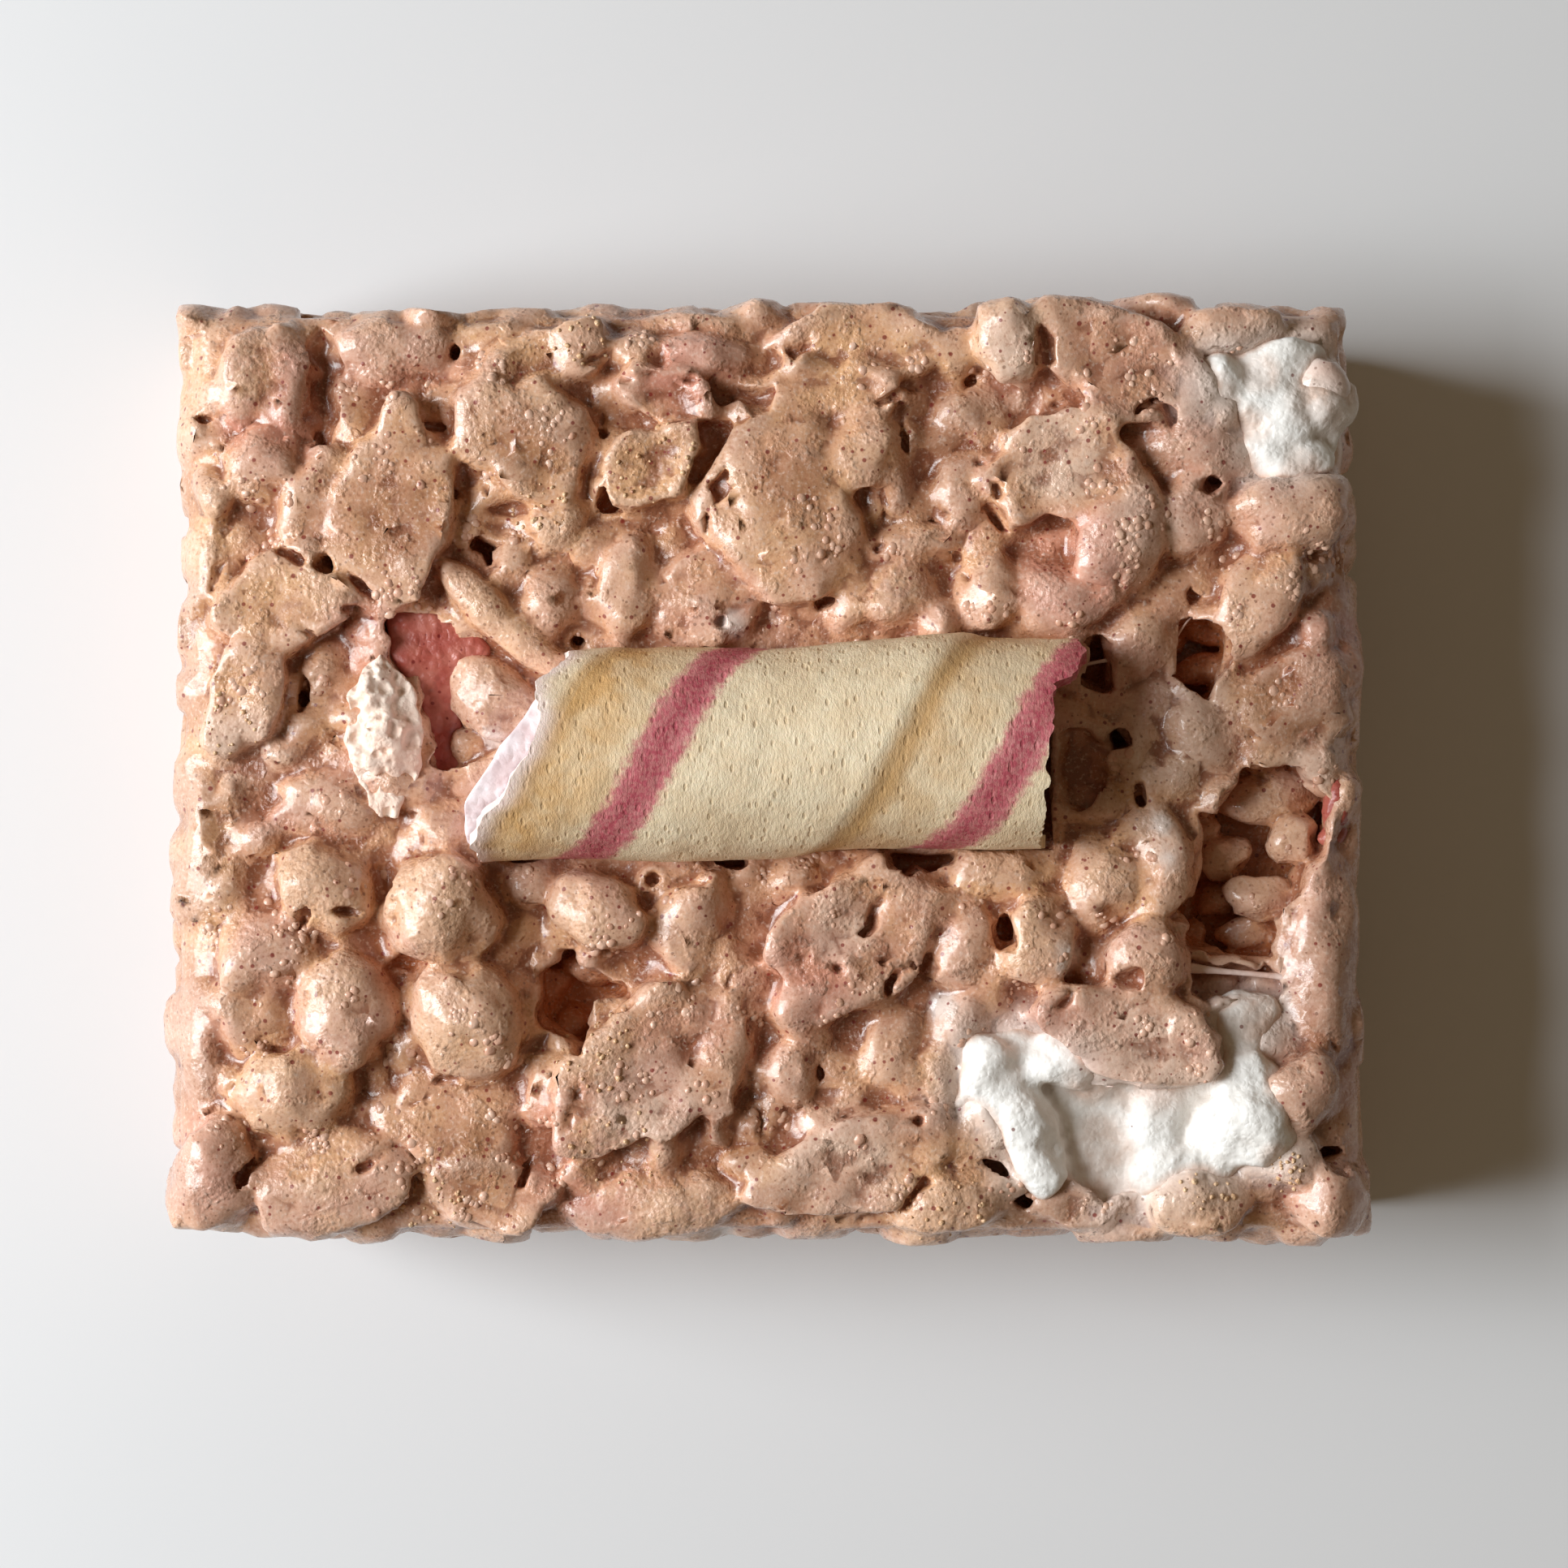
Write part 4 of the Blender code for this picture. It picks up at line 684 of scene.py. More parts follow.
def depthUnderTop(points, normals):  # 0 at the top of its surroundings, 1 deep in a gap, where the glaze paints shade
    columns, lines = 56, 46  # a grid of 2 mm
    x, y, z = points.T / mm
    column = np.clip(((x + columns) / 2).astype(int), 0, columns - 1)
    line = np.clip(((y + lines) / 2).astype(int), 0, lines - 1)
    heights = np.zeros((columns, lines))
    np.maximum.at(heights, (column, line), z)
    for _ in range(6):
        ring = np.pad(heights, 1, mode="edge")
        heights = (ring[1:-1, 1:-1] * 2 + ring[:-2, 1:-1] + ring[2:, 1:-1] + ring[1:-1, :-2] + ring[1:-1, 2:]) / 6
    inside = np.minimum(x - np.interp(y, *outline["left"]), np.interp(y, *outline["right"]) - x)
    inside = np.minimum(inside, np.minimum(y - np.interp(x, *outline["front"]), np.interp(x, *outline["back"]) - y))
    depth = np.clip((heights[column, line] - z) / 6, 0, 1) * np.clip((normals[:, 2] + 0.7) * 2, 0, 1)
    return depth * np.clip(inside - 1.5, 0, 1) * (z > 10)


def tints(points):  # each placed piece is warmer or cooler
    warmth = np.zeros(len(points))
    nearest = np.full(len(points), 1.6)
    rng = random.Random(5)
    for x, y, length, width, turn, lift in flakes + grains:
        angle = math.radians(turn)
        dx, dy = points[:, 0] / mm - x, points[:, 1] / mm - y
        u = (dx * math.cos(angle) + dy * math.sin(angle)) / (length / 2)
        v = (dy * math.cos(angle) - dx * math.sin(angle)) / (width / 2)
        away = np.hypot(u, v)
        warmth = np.where(away < nearest, rng.uniform(-1, 1) * np.clip(1.6 - away, 0, 1), warmth)
        nearest = np.minimum(nearest, away)
    return warmth


def finishMass(mass):
    points = pointsOf(mass).astype(float)  # lumps stand out and creases sink a little more
    high = np.clip(points[:, 2] / mm - 1, 0, 1)
    push = (points - relax(mass, points, 14)) * massSettings["crisp"] * high[:, None]
    length = np.linalg.norm(push, axis=1, keepdims=True)
    push *= np.minimum(1, massSettings["crispLimit"] * mm / np.maximum(length, 1e-9))
    setPoints(mass, points + push)
    points = pointsOf(mass).astype(float)
    # painted shade follows dip, crease and depth in the glaze, and painted light follows the rises (dip below zero)
    addAttribute(mass, "dip", hollows(mass, 40, 0.55))
    addAttribute(mass, "crease", hollows(mass, 4, 0.1))
    addAttribute(mass, "depth", depthUnderTop(points, pointsOf(mass, "normal")))
    addAttribute(mass, "warmth", tints(points))
    for name in ("crust", "pink", "milky", "tan"):
        addAttribute(mass, name, around(points, places[name]))
    mass.data.shade_smooth()


mass = carve(makeMass())
detail(mass)
pressOutline(mass)
finishMass(mass)
print("mass finished", triangleCount(mass))


# the rolled wafer: one sheet wound along a helix, its outer edge a low step

def makeShell():
    deselect()
    bpy.ops.mesh.primitive_grid_add(x_subdivisions=roll["along"], y_subdivisions=roll["around"], size=1)
    shell = bpy.context.object
    points = pointsOf(shell).astype(float)
    share, angle = points[:, 0] + 0.5, points[:, 1] * 360  # from tear to tear, and from the top towards the back
    circle = np.stack([np.cos(np.radians(angle)), np.sin(np.radians(angle)), 0 * angle], 1)
    leftTear = np.interp(angle, *np.array(roll["leftTear"]).T) + 0.35 * cloud(circle, 0.14) + 0.16 * cloud(circle, 0.05)
    rightTear = np.interp(angle, *np.array(roll["rightTear"]).T)
    rightTear += 0.35 * cloud(circle, 0.12, 5) + 0.22 * cloud(circle, 0.045, 5)
    x = leftTear + share * (rightTear - leftTear)
    turns = (x - roll["seamAt"]) / roll["pitch"] - angle / 360
    phase = turns - np.floor(turns)
    rise = phase ** 1.3 * np.clip((1 - phase) * roll["pitch"] / 2.0, 0, 1)  # falls off just before the seam
    step = roll["step"] * np.clip((x + 18) / 8, 0.25, 1)  # the step fades towards the torn left end
    radius = roll["radius"] - 0.15 + step * rise
    place = np.stack([x, radius * circle[:, 1], radius * circle[:, 0]], 1)
    radius += 0.22 * cloud(place, 6.0, 3) + 0.07 * cloud(place, 2.0, 3) + 0.035 * cloud(place, 0.8, 3)
    for spot, side, height in roll["bulges"]:
        radius += height * np.exp(-((x - spot) / 4.5) ** 2) * np.clip(side * circle[:, 1], 0, 1)
    y = roll["axisY"] + roll["tilt"] * x + radius * circle[:, 1]
    z = roll["axisZ"] + radius * circle[:, 0]
    addAttribute(shell, "rim", np.exp(-(x - leftTear) / 1.3))
    setPoints(shell, np.stack([x, y, z], 1) * mm)
    loops = np.empty(len(shell.data.loops), np.int32)
    shell.data.loops.foreach_get("vertex_index", loops)
    uv = np.stack([x / 60 + 0.5, angle / 360 + 0.5], 1)[loops]
    shell.data.uv_layers[0].data.foreach_set("uv", uv.astype(np.float32).reshape(-1))
    startEdit(shell)
    bpy.ops.mesh.remove_doubles(threshold=0.01 * mm)
    bpy.ops.mesh.normals_make_consistent(inside=False)
    endEdit()
    if np.sum(pointsOf(shell, "normal")[:, 2] * (pointsOf(shell)[:, 2] / mm - roll["axisZ"])) < 0:
        startEdit(shell)
        bpy.ops.mesh.flip_normals()
        endEdit()
    applyModifier(shell, "SOLIDIFY", thickness=roll["wall"] * mm, offset=-1)
    shell = join([shell], "waferRoll")
    shell.data.shade_smooth()
    bpy.ops.object.shade_smooth_by_angle(angle=math.radians(50))
    return shell


def makeCream():
    cream = rod("rollCream", 128, roll["creamRadius"], roll["creamLength"], -1.5)
    fuse(cream, 0.32)
    points = pointsOf(cream).astype(float) / mm
    points[:, 0] += torn(points)
    points[:, 1] += roll["tilt"] * points[:, 0]
    points += (0.3 * cloud(points, 3.2, 1) + 0.12 * cloud(points, 1.1, 1))[:, None] * pointsOf(cream, "normal")
    setPoints(cream, points * mm)
    soften(cream, 4)
    thin(cream, roll["creamTriangles"])
    cream.data.shade_smooth()
    return cream


# soft or crumbly toppings: lumps fused into one skin, then worked over

berrySettings = {
    "slab": [
        (-31.9, 13.4), (-30.5, 13.9), (-28.4, 13.5), (-26.8, 13.2), (-25, 12.4), (-23.2, 10.8), (-23, 9.8),
        (-24.6, 9), (-25.4, 7.6), (-25.8, 5), (-25, 1), (-26, -0.6), (-28.4, 0), (-29.2, 5.6), (-30.6, 8.4),
        (-31.6, 10),
    ],
    "low": 20.4, "high": 25.5, "sag": 2.6, "voxel": 0.24, "triangles": 26000, "bitTriangles": 9000,
    "bit": [(47.4, -2.4, 24, 5, 2.2, 3.4, 84), (47.2, -5.2, 23.4, 2.6, 1.8, 2.4, 20)],
}
crumbSettings = {
    "outline": [
        (-32.2, 9.9), (-33.4, 8.9), (-34.2, 7.2), (-35, 6.6), (-34.6, 4.5), (-35.3, 2.8), (-34.4, 1.2), (-33.4, -1.5),
        (-33.2, -3), (-32.2, -3.9), (-30.8, -3.9), (-30.2, -2.4), (-28.6, 0.2), (-28.6, 4.5), (-29.2, 7),
        (-30.6, 8.4),
    ],
    "lumps": [
        (-32.4, 6.6, 25.8, 5, 4, 3.8, 84), (-31.2, 2.6, 25.9, 6.4, 4.6, 4.4, 88),
        (-32.8, 0.8, 25.8, 4.4, 3.6, 3.6, 80),
    ],
    "low": 21.5, "high": 26.5, "voxel": 0.2, "uncut": 400000, "triangles": 60000,
    "pores": 130, "poreSizes": [0.5, 0.6, 0.7, 0.8, 1.0, 1.3],
}


def softLumps(lumps):
    return [lump((x, y, z), (length, width, height), turn, uneven=0.22, press=0.2, seed=i)
            for i, (x, y, z, length, width, height, turn) in enumerate(lumps)]


# a dried slice: thick at the back, sagging towards its narrow front end
def berrySlab():
    s = berrySettings
    slab = prism(s["slab"], s["low"], s["high"], 0)
    fuse(slab, 0.3)
    points = pointsOf(slab).astype(float)
    sag = s["sag"] * np.clip((9.5 - points[:, 1] / mm) / 6, 0, 1) ** 1.5
    points[:, 2] -= np.where(points[:, 2] > 22.5 * mm, sag * mm, 0)
    setPoints(slab, points)
    soften(slab, 8)
    return slab


def makeSoft(name, parts, voxel, triangles, folds, grain, rounds=12):
    whole = join(parts, name)
    fuse(whole, voxel)
    soften(whole, rounds)
    roughen(whole, "CLOUDS", 2.4, folds)
    roughen(whole, "CLOUDS", 0.7, grain)
    soften(whole)
    thin(whole, triangles)
    # painted shade: the soft finishes darken these dips
    addAttribute(whole, "dip", hollows(whole, 45, 0.45))
    addAttribute(whole, "deep", np.clip((23.2 - pointsOf(whole).astype(float)[:, 2] / mm) / 1.6, 0, 1))
    whole.data.shade_smooth()
    return whole


def makeMarshmallow(name):
    s = marshmallowSettings[name]
    parts = [prism(s["outline"], marshmallowLow, s["high"])] + softLumps(s["lumps"])
    return makeSoft(name, parts, marshmallowVoxel, s["triangles"], s["folds"], s["grain"], marshmallowRounds)


def makePaleCrumb():
    s = crumbSettings
    parts = [prism(s["outline"], s["low"], s["high"])] + softLumps(s["lumps"])
    crumb = makeSoft("paleCrumb", parts, s["voxel"], s["uncut"], 0.8, 0.4, 9)
    rng = random.Random(3)
    pores = []
    for _ in range(s["pores"]):  # bubbles of many sizes are bitten out of its skin
        x, y = rng.uniform(-35, -28.6), rng.uniform(-4, 9.6)
        hit, place, slope = topOf(crumb, x, y)
        if hit:
            wide = rng.choice(s["poreSizes"])
            pores.append(lump((x, y, place.z / mm), (wide, wide, 0.9 * wide), seed=x, fineness=2))
    cutter = join(pores, "pores")
    fuse(cutter, 0.12)
    cutAway(crumb, cutter)
    fuse(crumb, 0.16)
    soften(crumb)
    thin(crumb, s["triangles"])
    # painted shade: the finish darkens these dips
    addAttribute(crumb, "dip", hollows(crumb, 20, 0.25))
    crumb.data.shade_smooth()
    return crumb


# sticky threads that were pulled between the pieces: points, then thickness at both ends and in the middle
threadSettings = {"paths": [
    ([(-45.2, -24.6, 24.0), (-42.6, -22.2, 25.4), (-40.6, -20.4, 25.8), (-38.6, -18.6, 26.0)], 0.5, 0.16),
    ([(-43.4, -24.8, 24.2), (-42.4, -22.8, 25.2), (-41.4, -21.2, 25.6)], 0.3, 0.12),
    ([(33.8, -16.1, 25.0), (36.5, -16.4, 24.8), (40.0, -16.7, 24.8), (43.2, -17.0, 25.0), (45.4, -17.4, 25.6)],
     1.2, 0.42),
    ([(24.9, 8.6, 24.4), (26.6, 9.2, 24.0), (29.4, 9.6, 24.4)], 0.5, 0.12),
    ([(31.6, 7.2, 24.8), (34.6, 12.8, 24.6), (36.0, 13.2, 24.6), (38.6, 12.2, 25.0)], 0.6, 0.14),
    ([(14.0, -28.0, 25.0), (12.6, -27.9, 24.8), (10.4, -27.2, 25.0)], 0.8, 0.3),
]}


def makeThreads():
    strands = []
    for spots, thick, thinnest in threadSettings["paths"]:
        deselect()
        bpy.ops.curve.primitive_bezier_curve_add()
        strand = bpy.context.object
        curve = strand.data
        curve.splines.clear()
        spline = curve.splines.new("NURBS")
        spline.points.add(len(spots) - 1)
        for i, spot in enumerate(spots):
            spline.points[i].co = (*(Vector(spot) * mm), 1)
            middle = 1 - abs(2 * i / (len(spots) - 1) - 1)
            spline.points[i].radius = thick + (thinnest - thick) * min(1, 1.6 * middle)
        spline.use_endpoint_u = True
        spline.order_u = 3
        curve.dimensions = "3D"
        curve.bevel_depth = 0.5 * mm
        curve.bevel_resolution = 3
        curve.use_fill_caps = True
        pick(strand)
        strand.location = (0, 0, 0)
        bpy.ops.object.convert(target="MESH")
        strands.append(bpy.context.object)
    threads = join(strands, "stickyThreads")
    threads.data.shade_smooth()
    return threads


# small things on the crust: one of each kind is modelled, the rest are copies
scatterSettings = {
    "looseCrumbs": {"doublings": 8, "sizes": (0.25, 0.7), "narrow": 0.7, "flat": 0.8, "lean": 1.5, "sunk": 0.1,
                    "uneven": 0.35, "seed": 9, "clusters": 0, "places": [
                        (14.6, -36, 4), (-12.5, -31, 4.2), (-9.7, 25.8, 4.2), (36.4, -33.6, 2.6), (-14.6, -23, 3.4),
                        (-28, -36.4, 3), (42.6, -33, 2), (-15.6, 36.6, 3), (-45, 4, 3), (-19, 22, 2.4),
    ]},
    "glazeBubbles": {"doublings": 10, "sizes": (0.4, 1.3), "narrow": 0.8, "flat": 0.5, "lean": 0.2, "sunk": 0.14,
                     "uneven": 0.14, "seed": 21, "clusters": 130, "places": [
                         (-27, -9.4, 2.6), (-33.8, -9, 2), (-34.4, -19, 2.4), (-25, -21, 3), (-40, -15, 2.6),
                         (-30, -34.4, 3.2), (-22.6, -29.4, 1.6), (-10, -12.6, 2), (-31.4, 26, 4), (-18.6, 28.4, 3),
                         (-30.4, 15, 3), (3, 20, 4), (29.6, 33.6, 4), (27, 24, 3), (8, 34.8, 3.6), (-40.6, 6.6, 2),
                         (17, -13, 2.6), (23, -13.6, 2.6), (30, -7, 2), (-12, -30.6, 3), (0, -28, 2.4),
                         (44.4, 17, 3.4),
    ]},
}


def makeScatter(name, mass):
    s = scatterSettings[name]
    rng = random.Random(s["seed"])
    spots = list(s["places"])
    for _ in range(s["clusters"]):
        spots.append((rng.uniform(-47, 47), rng.uniform(-36.5, 36.5), rng.uniform(0.8, 1.8)))
    deselect()
    bpy.ops.mesh.primitive_uv_sphere_add(segments=8, ring_count=5, radius=0.5)
    scatter = bpy.context.object
    scatter.name = name
    scatter.data.name = name
    shape = pointsOf(scatter).astype(float)
    startEdit(scatter)
    for _ in range(s["doublings"]):
        bpy.ops.mesh.select_all(action="SELECT")
        bpy.ops.mesh.duplicate()
    endEdit()
    placed = []
    tries = 0
    while len(placed) < 2 ** s["doublings"]:  # every copy gets its own size, unevenness, turn and place
        tries += 1
        x, y, radius = spots[tries % len(spots)]
        angle, away = rng.uniform(0, 2 * math.pi), radius * math.sqrt(rng.random())
        x, y = x + away * math.cos(angle), y + away * math.sin(angle)
        size = rng.uniform(*s["sizes"]) * rng.uniform(0.6, 1) * mm
        hit, place, normal = topOf(mass, x, y)
        if not hit or place.z < 23 * mm or normal.z < 0.25 or inRoll(x, y, 0):
            continue
        bit = shape * (1 + s["uneven"] * cloud(shape, 0.4, tries))[:, None]
        bit = bit * (1, rng.uniform(s["narrow"], 1), s["flat"])
        turned = Euler((rng.uniform(-1, 1) * s["lean"], rng.uniform(-1, 1) * s["lean"], rng.uniform(0, 6.28)))
        placed.append(bit @ np.array(turned.to_matrix()).T * size + np.array(place - normal * s["sunk"] * size))
    setPoints(scatter, np.concatenate(placed))
    scatter.data.shade_smooth()
    return scatter


def searchTree(obj):
    return BVHTree.FromPolygons([v.co for v in obj.data.vertices], [f.vertices for f in obj.data.polygons])


# where white marshmallow and glaze meet, each one's colour fades into the other's; small white pools on the glaze are
# painted highlights too
def blendWhite(mass, whites):
    massTree = searchTree(mass)
    points = pointsOf(mass)
    hazeAndHighlight = np.zeros(len(points))
    reach = 3.4 * mm
    for white in whites:
        own = pointsOf(white)
        near = [massTree.find_nearest(v.co)[3] for v in white.data.vertices]
        film = np.clip(1 - np.array(near) / (0.7 * mm), 0, 1)
        film = np.maximum(film, around(own, places["film"]) * (0.6 + 0.4 * cloud(own, 2.4 * mm)))
        addAttribute(white, "film", np.clip(film, 0, 1))
        low, high = own.min(0) - reach, own.max(0) + reach
        beside = np.all((points[:, :2] > low[:2]) & (points[:, :2] < high[:2]), axis=1)
        close = np.nonzero(beside & (points[:, 2] > 19 * mm))[0]
        tree = searchTree(white)
        away = np.array([tree.find_nearest(Vector(points[i]), reach)[3] or reach for i in close])
        hazeAndHighlight[close] = np.maximum(hazeAndHighlight[close], 1 - away / (3.2 * mm))
    hazeAndHighlight *= 1 - 0.8 * around(points, places["tan"])
    # painted highlights: small pools of white glaze
    hazeAndHighlight = np.maximum(hazeAndHighlight, 0.9 * around(points, places["pool"]) * (points[:, 2] > 20 * mm))
    addAttribute(mass, "hazeAndHighlight", np.clip(hazeAndHighlight, 0, 1) ** 1.5)


shell = makeShell()
cream = makeCream()
marshmallowFront = makeMarshmallow("marshmallowFront")
marshmallowBack = makeMarshmallow("marshmallowBack")
s = berrySettings
berry = makeSoft("strawberryPiece", [berrySlab()], s["voxel"], s["triangles"], 0.5, 0.12)
berryBit = makeSoft("strawberryBit", softLumps(s["bit"]), s["voxel"], s["bitTriangles"], 0.4, 0.14)
crumb = makePaleCrumb()
threads = makeThreads()
crumbs = makeScatter("looseCrumbs", mass)
bubbles = makeScatter("glazeBubbles", mass)
blendWhite(mass, (marshmallowFront, marshmallowBack))
for ball in balls.values():
    bpy.data.objects.remove(ball, do_unlink=True)
for piece in (shell, cream, marshmallowFront, marshmallowBack, berry, berryBit, crumb, threads, crumbs, bubbles):
    print(piece.name, triangleCount(piece))


# finishes: patterns are counted in mm, from each piece's own coordinates

def colorOf(red, green, blue):  # a screen colour (0-255) as the linear colour that shaders want
    linear = []
    for part in (red / 255, green / 255, blue / 255):
        linear.append(part / 12.92 if part < 0.04045 else ((part + 0.055) / 1.055) ** 2.4)
    return (*linear, 1.0)


class Nodes:  # adds nodes to a material or a group; what feeds a socket is an output or a plain value
    def __init__(self, tree):
        self.tree = tree

    def feed(self, socket, source):
        if hasattr(source, "is_output"):
            self.tree.links.new(source, socket)
        else:
            socket.default_value = source

    def add(self, kind, wires=None, **values):
        node = self.tree.nodes.new("ShaderNode" + kind)
        for key, value in values.items():
            setattr(node, key, value)
        for socket, source in (wires or {}).items():
            self.feed(node.inputs[socket], source)
        return node

    def math(self, operation, first, second=0.0):
        return self.add("Math", {0: first, 1: second}, operation=operation).outputs[0]

    def times(self, first, second):
        return self.math("MULTIPLY", first, second)

    def plus(self, first, second):
        return self.math("ADD", first, second)

    def minus(self, first, second):
        return self.math("SUBTRACT", first, second)

    def vector(self, operation, first, socket, second):
        return self.add("VectorMath", {0: first, socket: second}, operation=operation).outputs[0]

    def ramp(self, value, low, high, to=(0.0, 1.0)):
        wires = {"Value": value, "From Min": low, "From Max": high, "To Min": to[0], "To Max": to[1]}
        return self.add("MapRange", wires, interpolation_type="SMOOTHSTEP").outputs["Result"]

    def noise(self, place, scale, detail, roughness=0.5, output=0):
        wires = {"Vector": place, "Scale": scale, "Detail": detail, "Roughness": roughness}
        return self.add("TexNoise", wires).outputs[output]

    def mix(self, share, first, second):
        return self.add("Mix", {0: share, 6: first, 7: second}, data_type="RGBA").outputs[2]

    def layers(self, color, coats):  # each coat is its share and its colour
        for share, tone in coats:
            color = self.mix(share, color, tone)
        return color

    def attribute(self, name):
        return self.add("Attribute", attribute_name=name).outputs["Fac"]

    def group(self, name, *given):
        node = self.add("Group", node_tree=groups[name])
        for socket, source in zip(node.inputs, given):
            self.feed(socket, source)
        return node.outputs[0]

    def finish(self, shader, color, roughness, height):  # height in mm
        bump = self.add("Bump", {"Height": height, "Strength": 1.0, "Distance": mm}).outputs[0]
        for socket, source in (("Base Color", color), ("Roughness", roughness), ("Normal", bump)):
            self.feed(shader.inputs[socket], source)


def newGroup(name, inputs, output):
    group = bpy.data.node_groups.new(name, "ShaderNodeTree")
    for label in ("Place", *inputs):
        kind = "NodeSocketVector" if label == "Place" else "NodeSocketFloat"
        group.interface.new_socket(label, in_out="INPUT", socket_type=kind)
    group.interface.new_socket(output, in_out="OUTPUT", socket_type="NodeSocketFloat")
    return Nodes(group), group.nodes.new("NodeGroupInput").outputs, group.nodes.new("NodeGroupOutput").inputs[0]


def makeSpeckGroup():  # small dots, each with its own size
    n, given, result = newGroup("specks", ["Spacing", "Share"], "Mask")
    place = n.vector("SCALE", given["Place"], "Scale", n.math("DIVIDE", 1.0, given["Spacing"]))
    cells = n.add("TexVoronoi", {"Vector": place, "Scale": 1.0})
    chance = n.add("SeparateColor", {0: cells.outputs["Color"]}).outputs
    radius = n.plus(n.times(chance[0], 0.2), 0.12)
    near = n.ramp(n.math("DIVIDE", cells.outputs["Distance"], radius), 1.0, 0.6)
    n.feed(result, n.times(near, n.math("LESS_THAN", chance[1], given["Share"])))
    return n.tree


def makeMottleGroup():  # cloudy patches with soft borders
    n, given, result = newGroup("mottle", ["Density"], "Mask")
    n.feed(result, n.ramp(n.noise(given["Place"], given["Density"], 3.0, 0.6), 0.34, 0.66))
    return n.tree


def makeBlisterGroup():  # tiny rounded bumps
    n, given, result = newGroup("blisterRelief", ["Density"], "Height")
    bend = n.noise(given["Place"], given["Density"], 2.0, output="Color")
    place = n.vector("ADD", given["Place"], 1, n.vector("SCALE", bend, "Scale", 0.5))
    cells = n.add("TexVoronoi", {"Vector": place, "Scale": given["Density"]})
    n.feed(result, n.ramp(cells.outputs["Distance"], 0.75, 0.05))
    return n.tree


groups = {"specks": makeSpeckGroup(), "mottle": makeMottleGroup(), "blisters": makeBlisterGroup()}


def newFinish(name, roughness, sockets):
    material = bpy.data.materials.new(name)
    material.use_nodes = True
    n = Nodes(material.node_tree)
    shader = material.node_tree.nodes["Principled BSDF"]
    for socket, value in {"Roughness": roughness, **sockets}.items():
        shader.inputs[socket].default_value = value
    place = n.add("Mapping", {"Vector": n.add("TexCoord").outputs["Object"], "Scale": (1000, 1000, 1000)}).outputs[0]
    return material, n, shader, place


# the dip, crease and depth tones are painted shade; the milk and haze tones are partly painted highlights
glazeSettings = {
    "pinkTan": (208, 153, 129), "goldenTan": (224, 173, 128), "pink": (202, 126, 112), "tan": (160, 108, 76),
    "milk": (234, 206, 188), "hazeAndHighlight": (240, 228, 220), "crust": (222, 172, 126), "dip": (162, 100, 70),
    "crease": (112, 52, 30), "depth": (196, 116, 66), "redSpeck": (128, 30, 26), "brownSpeck": (104, 56, 30),
}


def makeGlaze():
    tone = {key: colorOf(*value) for key, value in glazeSettings.items()}
    material, n, shader, place = newFinish("stickyGlaze", 0.4, {"Coat Weight": 0.4, "Coat Roughness": 0.1})
    crust, dip = n.attribute("crust"), n.attribute("dip")
    wide, fine = n.group("mottle", place, 0.2), n.group("mottle", place, 0.9)
    grit = n.noise(place, 3.0, 3.0)
    warm = n.ramp(n.attribute("warmth"), -0.8, 0.9)
    color = n.mix(n.plus(n.times(wide, 0.5), n.times(warm, 0.5)), tone["pinkTan"], tone["goldenTan"])
    color = n.layers(color, [
        (n.times(n.attribute("pink"), 0.5), tone["pink"]),
        (n.times(crust, n.plus(n.times(fine, 0.6), 0.25)), tone["crust"]),
        (n.times(n.attribute("tan"), 0.6), tone["tan"]),
        # milky film, with painted highlights at a few spots
        (n.times(n.attribute("milky"), n.plus(n.times(wide, 0.4), 0.3)), tone["milk"]),
        # painted light: rises paler; painted shade: dips darker
        (n.ramp(dip, -0.15, -0.9, (0.0, 0.3)), tone["milk"]),
        (n.ramp(dip, 0.05, 0.9, (0.0, 0.7)), tone["dip"]),
        # painted shade: thin dark lines in the finest creases
        (n.ramp(n.attribute("crease"), 0.25, 1.0, (0.0, 0.56)), tone["crease"]),
        # painted shade: a warm darker tone deep in the gaps under the top
        (n.ramp(n.attribute("depth"), 0.3, 1.0, (0.0, 0.95)), tone["depth"]),
        (n.times(fine, 0.14), tone["dip"]),
        # pale grit flecks, which also stand in for tiny painted glints
        (n.ramp(grit, 0.52, 0.76, (0.0, 0.55)), tone["milk"]),
        (n.ramp(grit, 0.48, 0.26, (0.0, 0.5)), tone["dip"]),
        # haze where glaze meets marshmallow, and painted highlights on small white pools
        (n.times(n.attribute("hazeAndHighlight"), 0.75), tone["hazeAndHighlight"]),
        (n.times(n.group("specks", n.vector("ADD", place, 1, (7.3, 2.1, 5.2)), 0.62, 0.4), 0.55), tone["brownSpeck"]),
        (n.times(n.group("specks", place, 0.8, 0.4), 0.8), tone["redSpeck"]),
    ])
    roughness = n.plus(n.ramp(fine, 0.2, 0.8, (0.24, 0.44)), n.times(crust, 0.1))
    # blisters everywhere, stronger on the crusty places, over grit and a soft unevenness
    patches = n.ramp(n.group("mottle", place, 0.35), 0.45, 0.85, (0.05, 1.0))
    share = n.math("MAXIMUM", n.times(patches, 0.05), n.times(crust, 0.06))
    height = n.times(n.group("blisters", place, 1.5), share)
    height = n.plus(height, n.times(n.group("blisters", place, 2.7), n.times(share, 0.25)))
    height = n.plus(height, n.times(n.noise(place, 0.8, 3.0), 0.07))
    height = n.plus(height, n.times(grit, n.plus(n.times(patches, 0.08), 0.035)))
    n.finish(shader, color, roughness, height)
    return material


waferSettings = {
    "pale": (246, 228, 196), "toasted": (220, 172, 112), "seam": (196, 152, 96), "stripe": (170, 36, 80),
    "stripeSoft": (202, 96, 116), "pore": (186, 146, 92), "cut": (222, 190, 138), "rim": (250, 228, 222),
}
stripeFrom, stripeHalf = 0.326, 2.2  # a share of the pitch, and mm


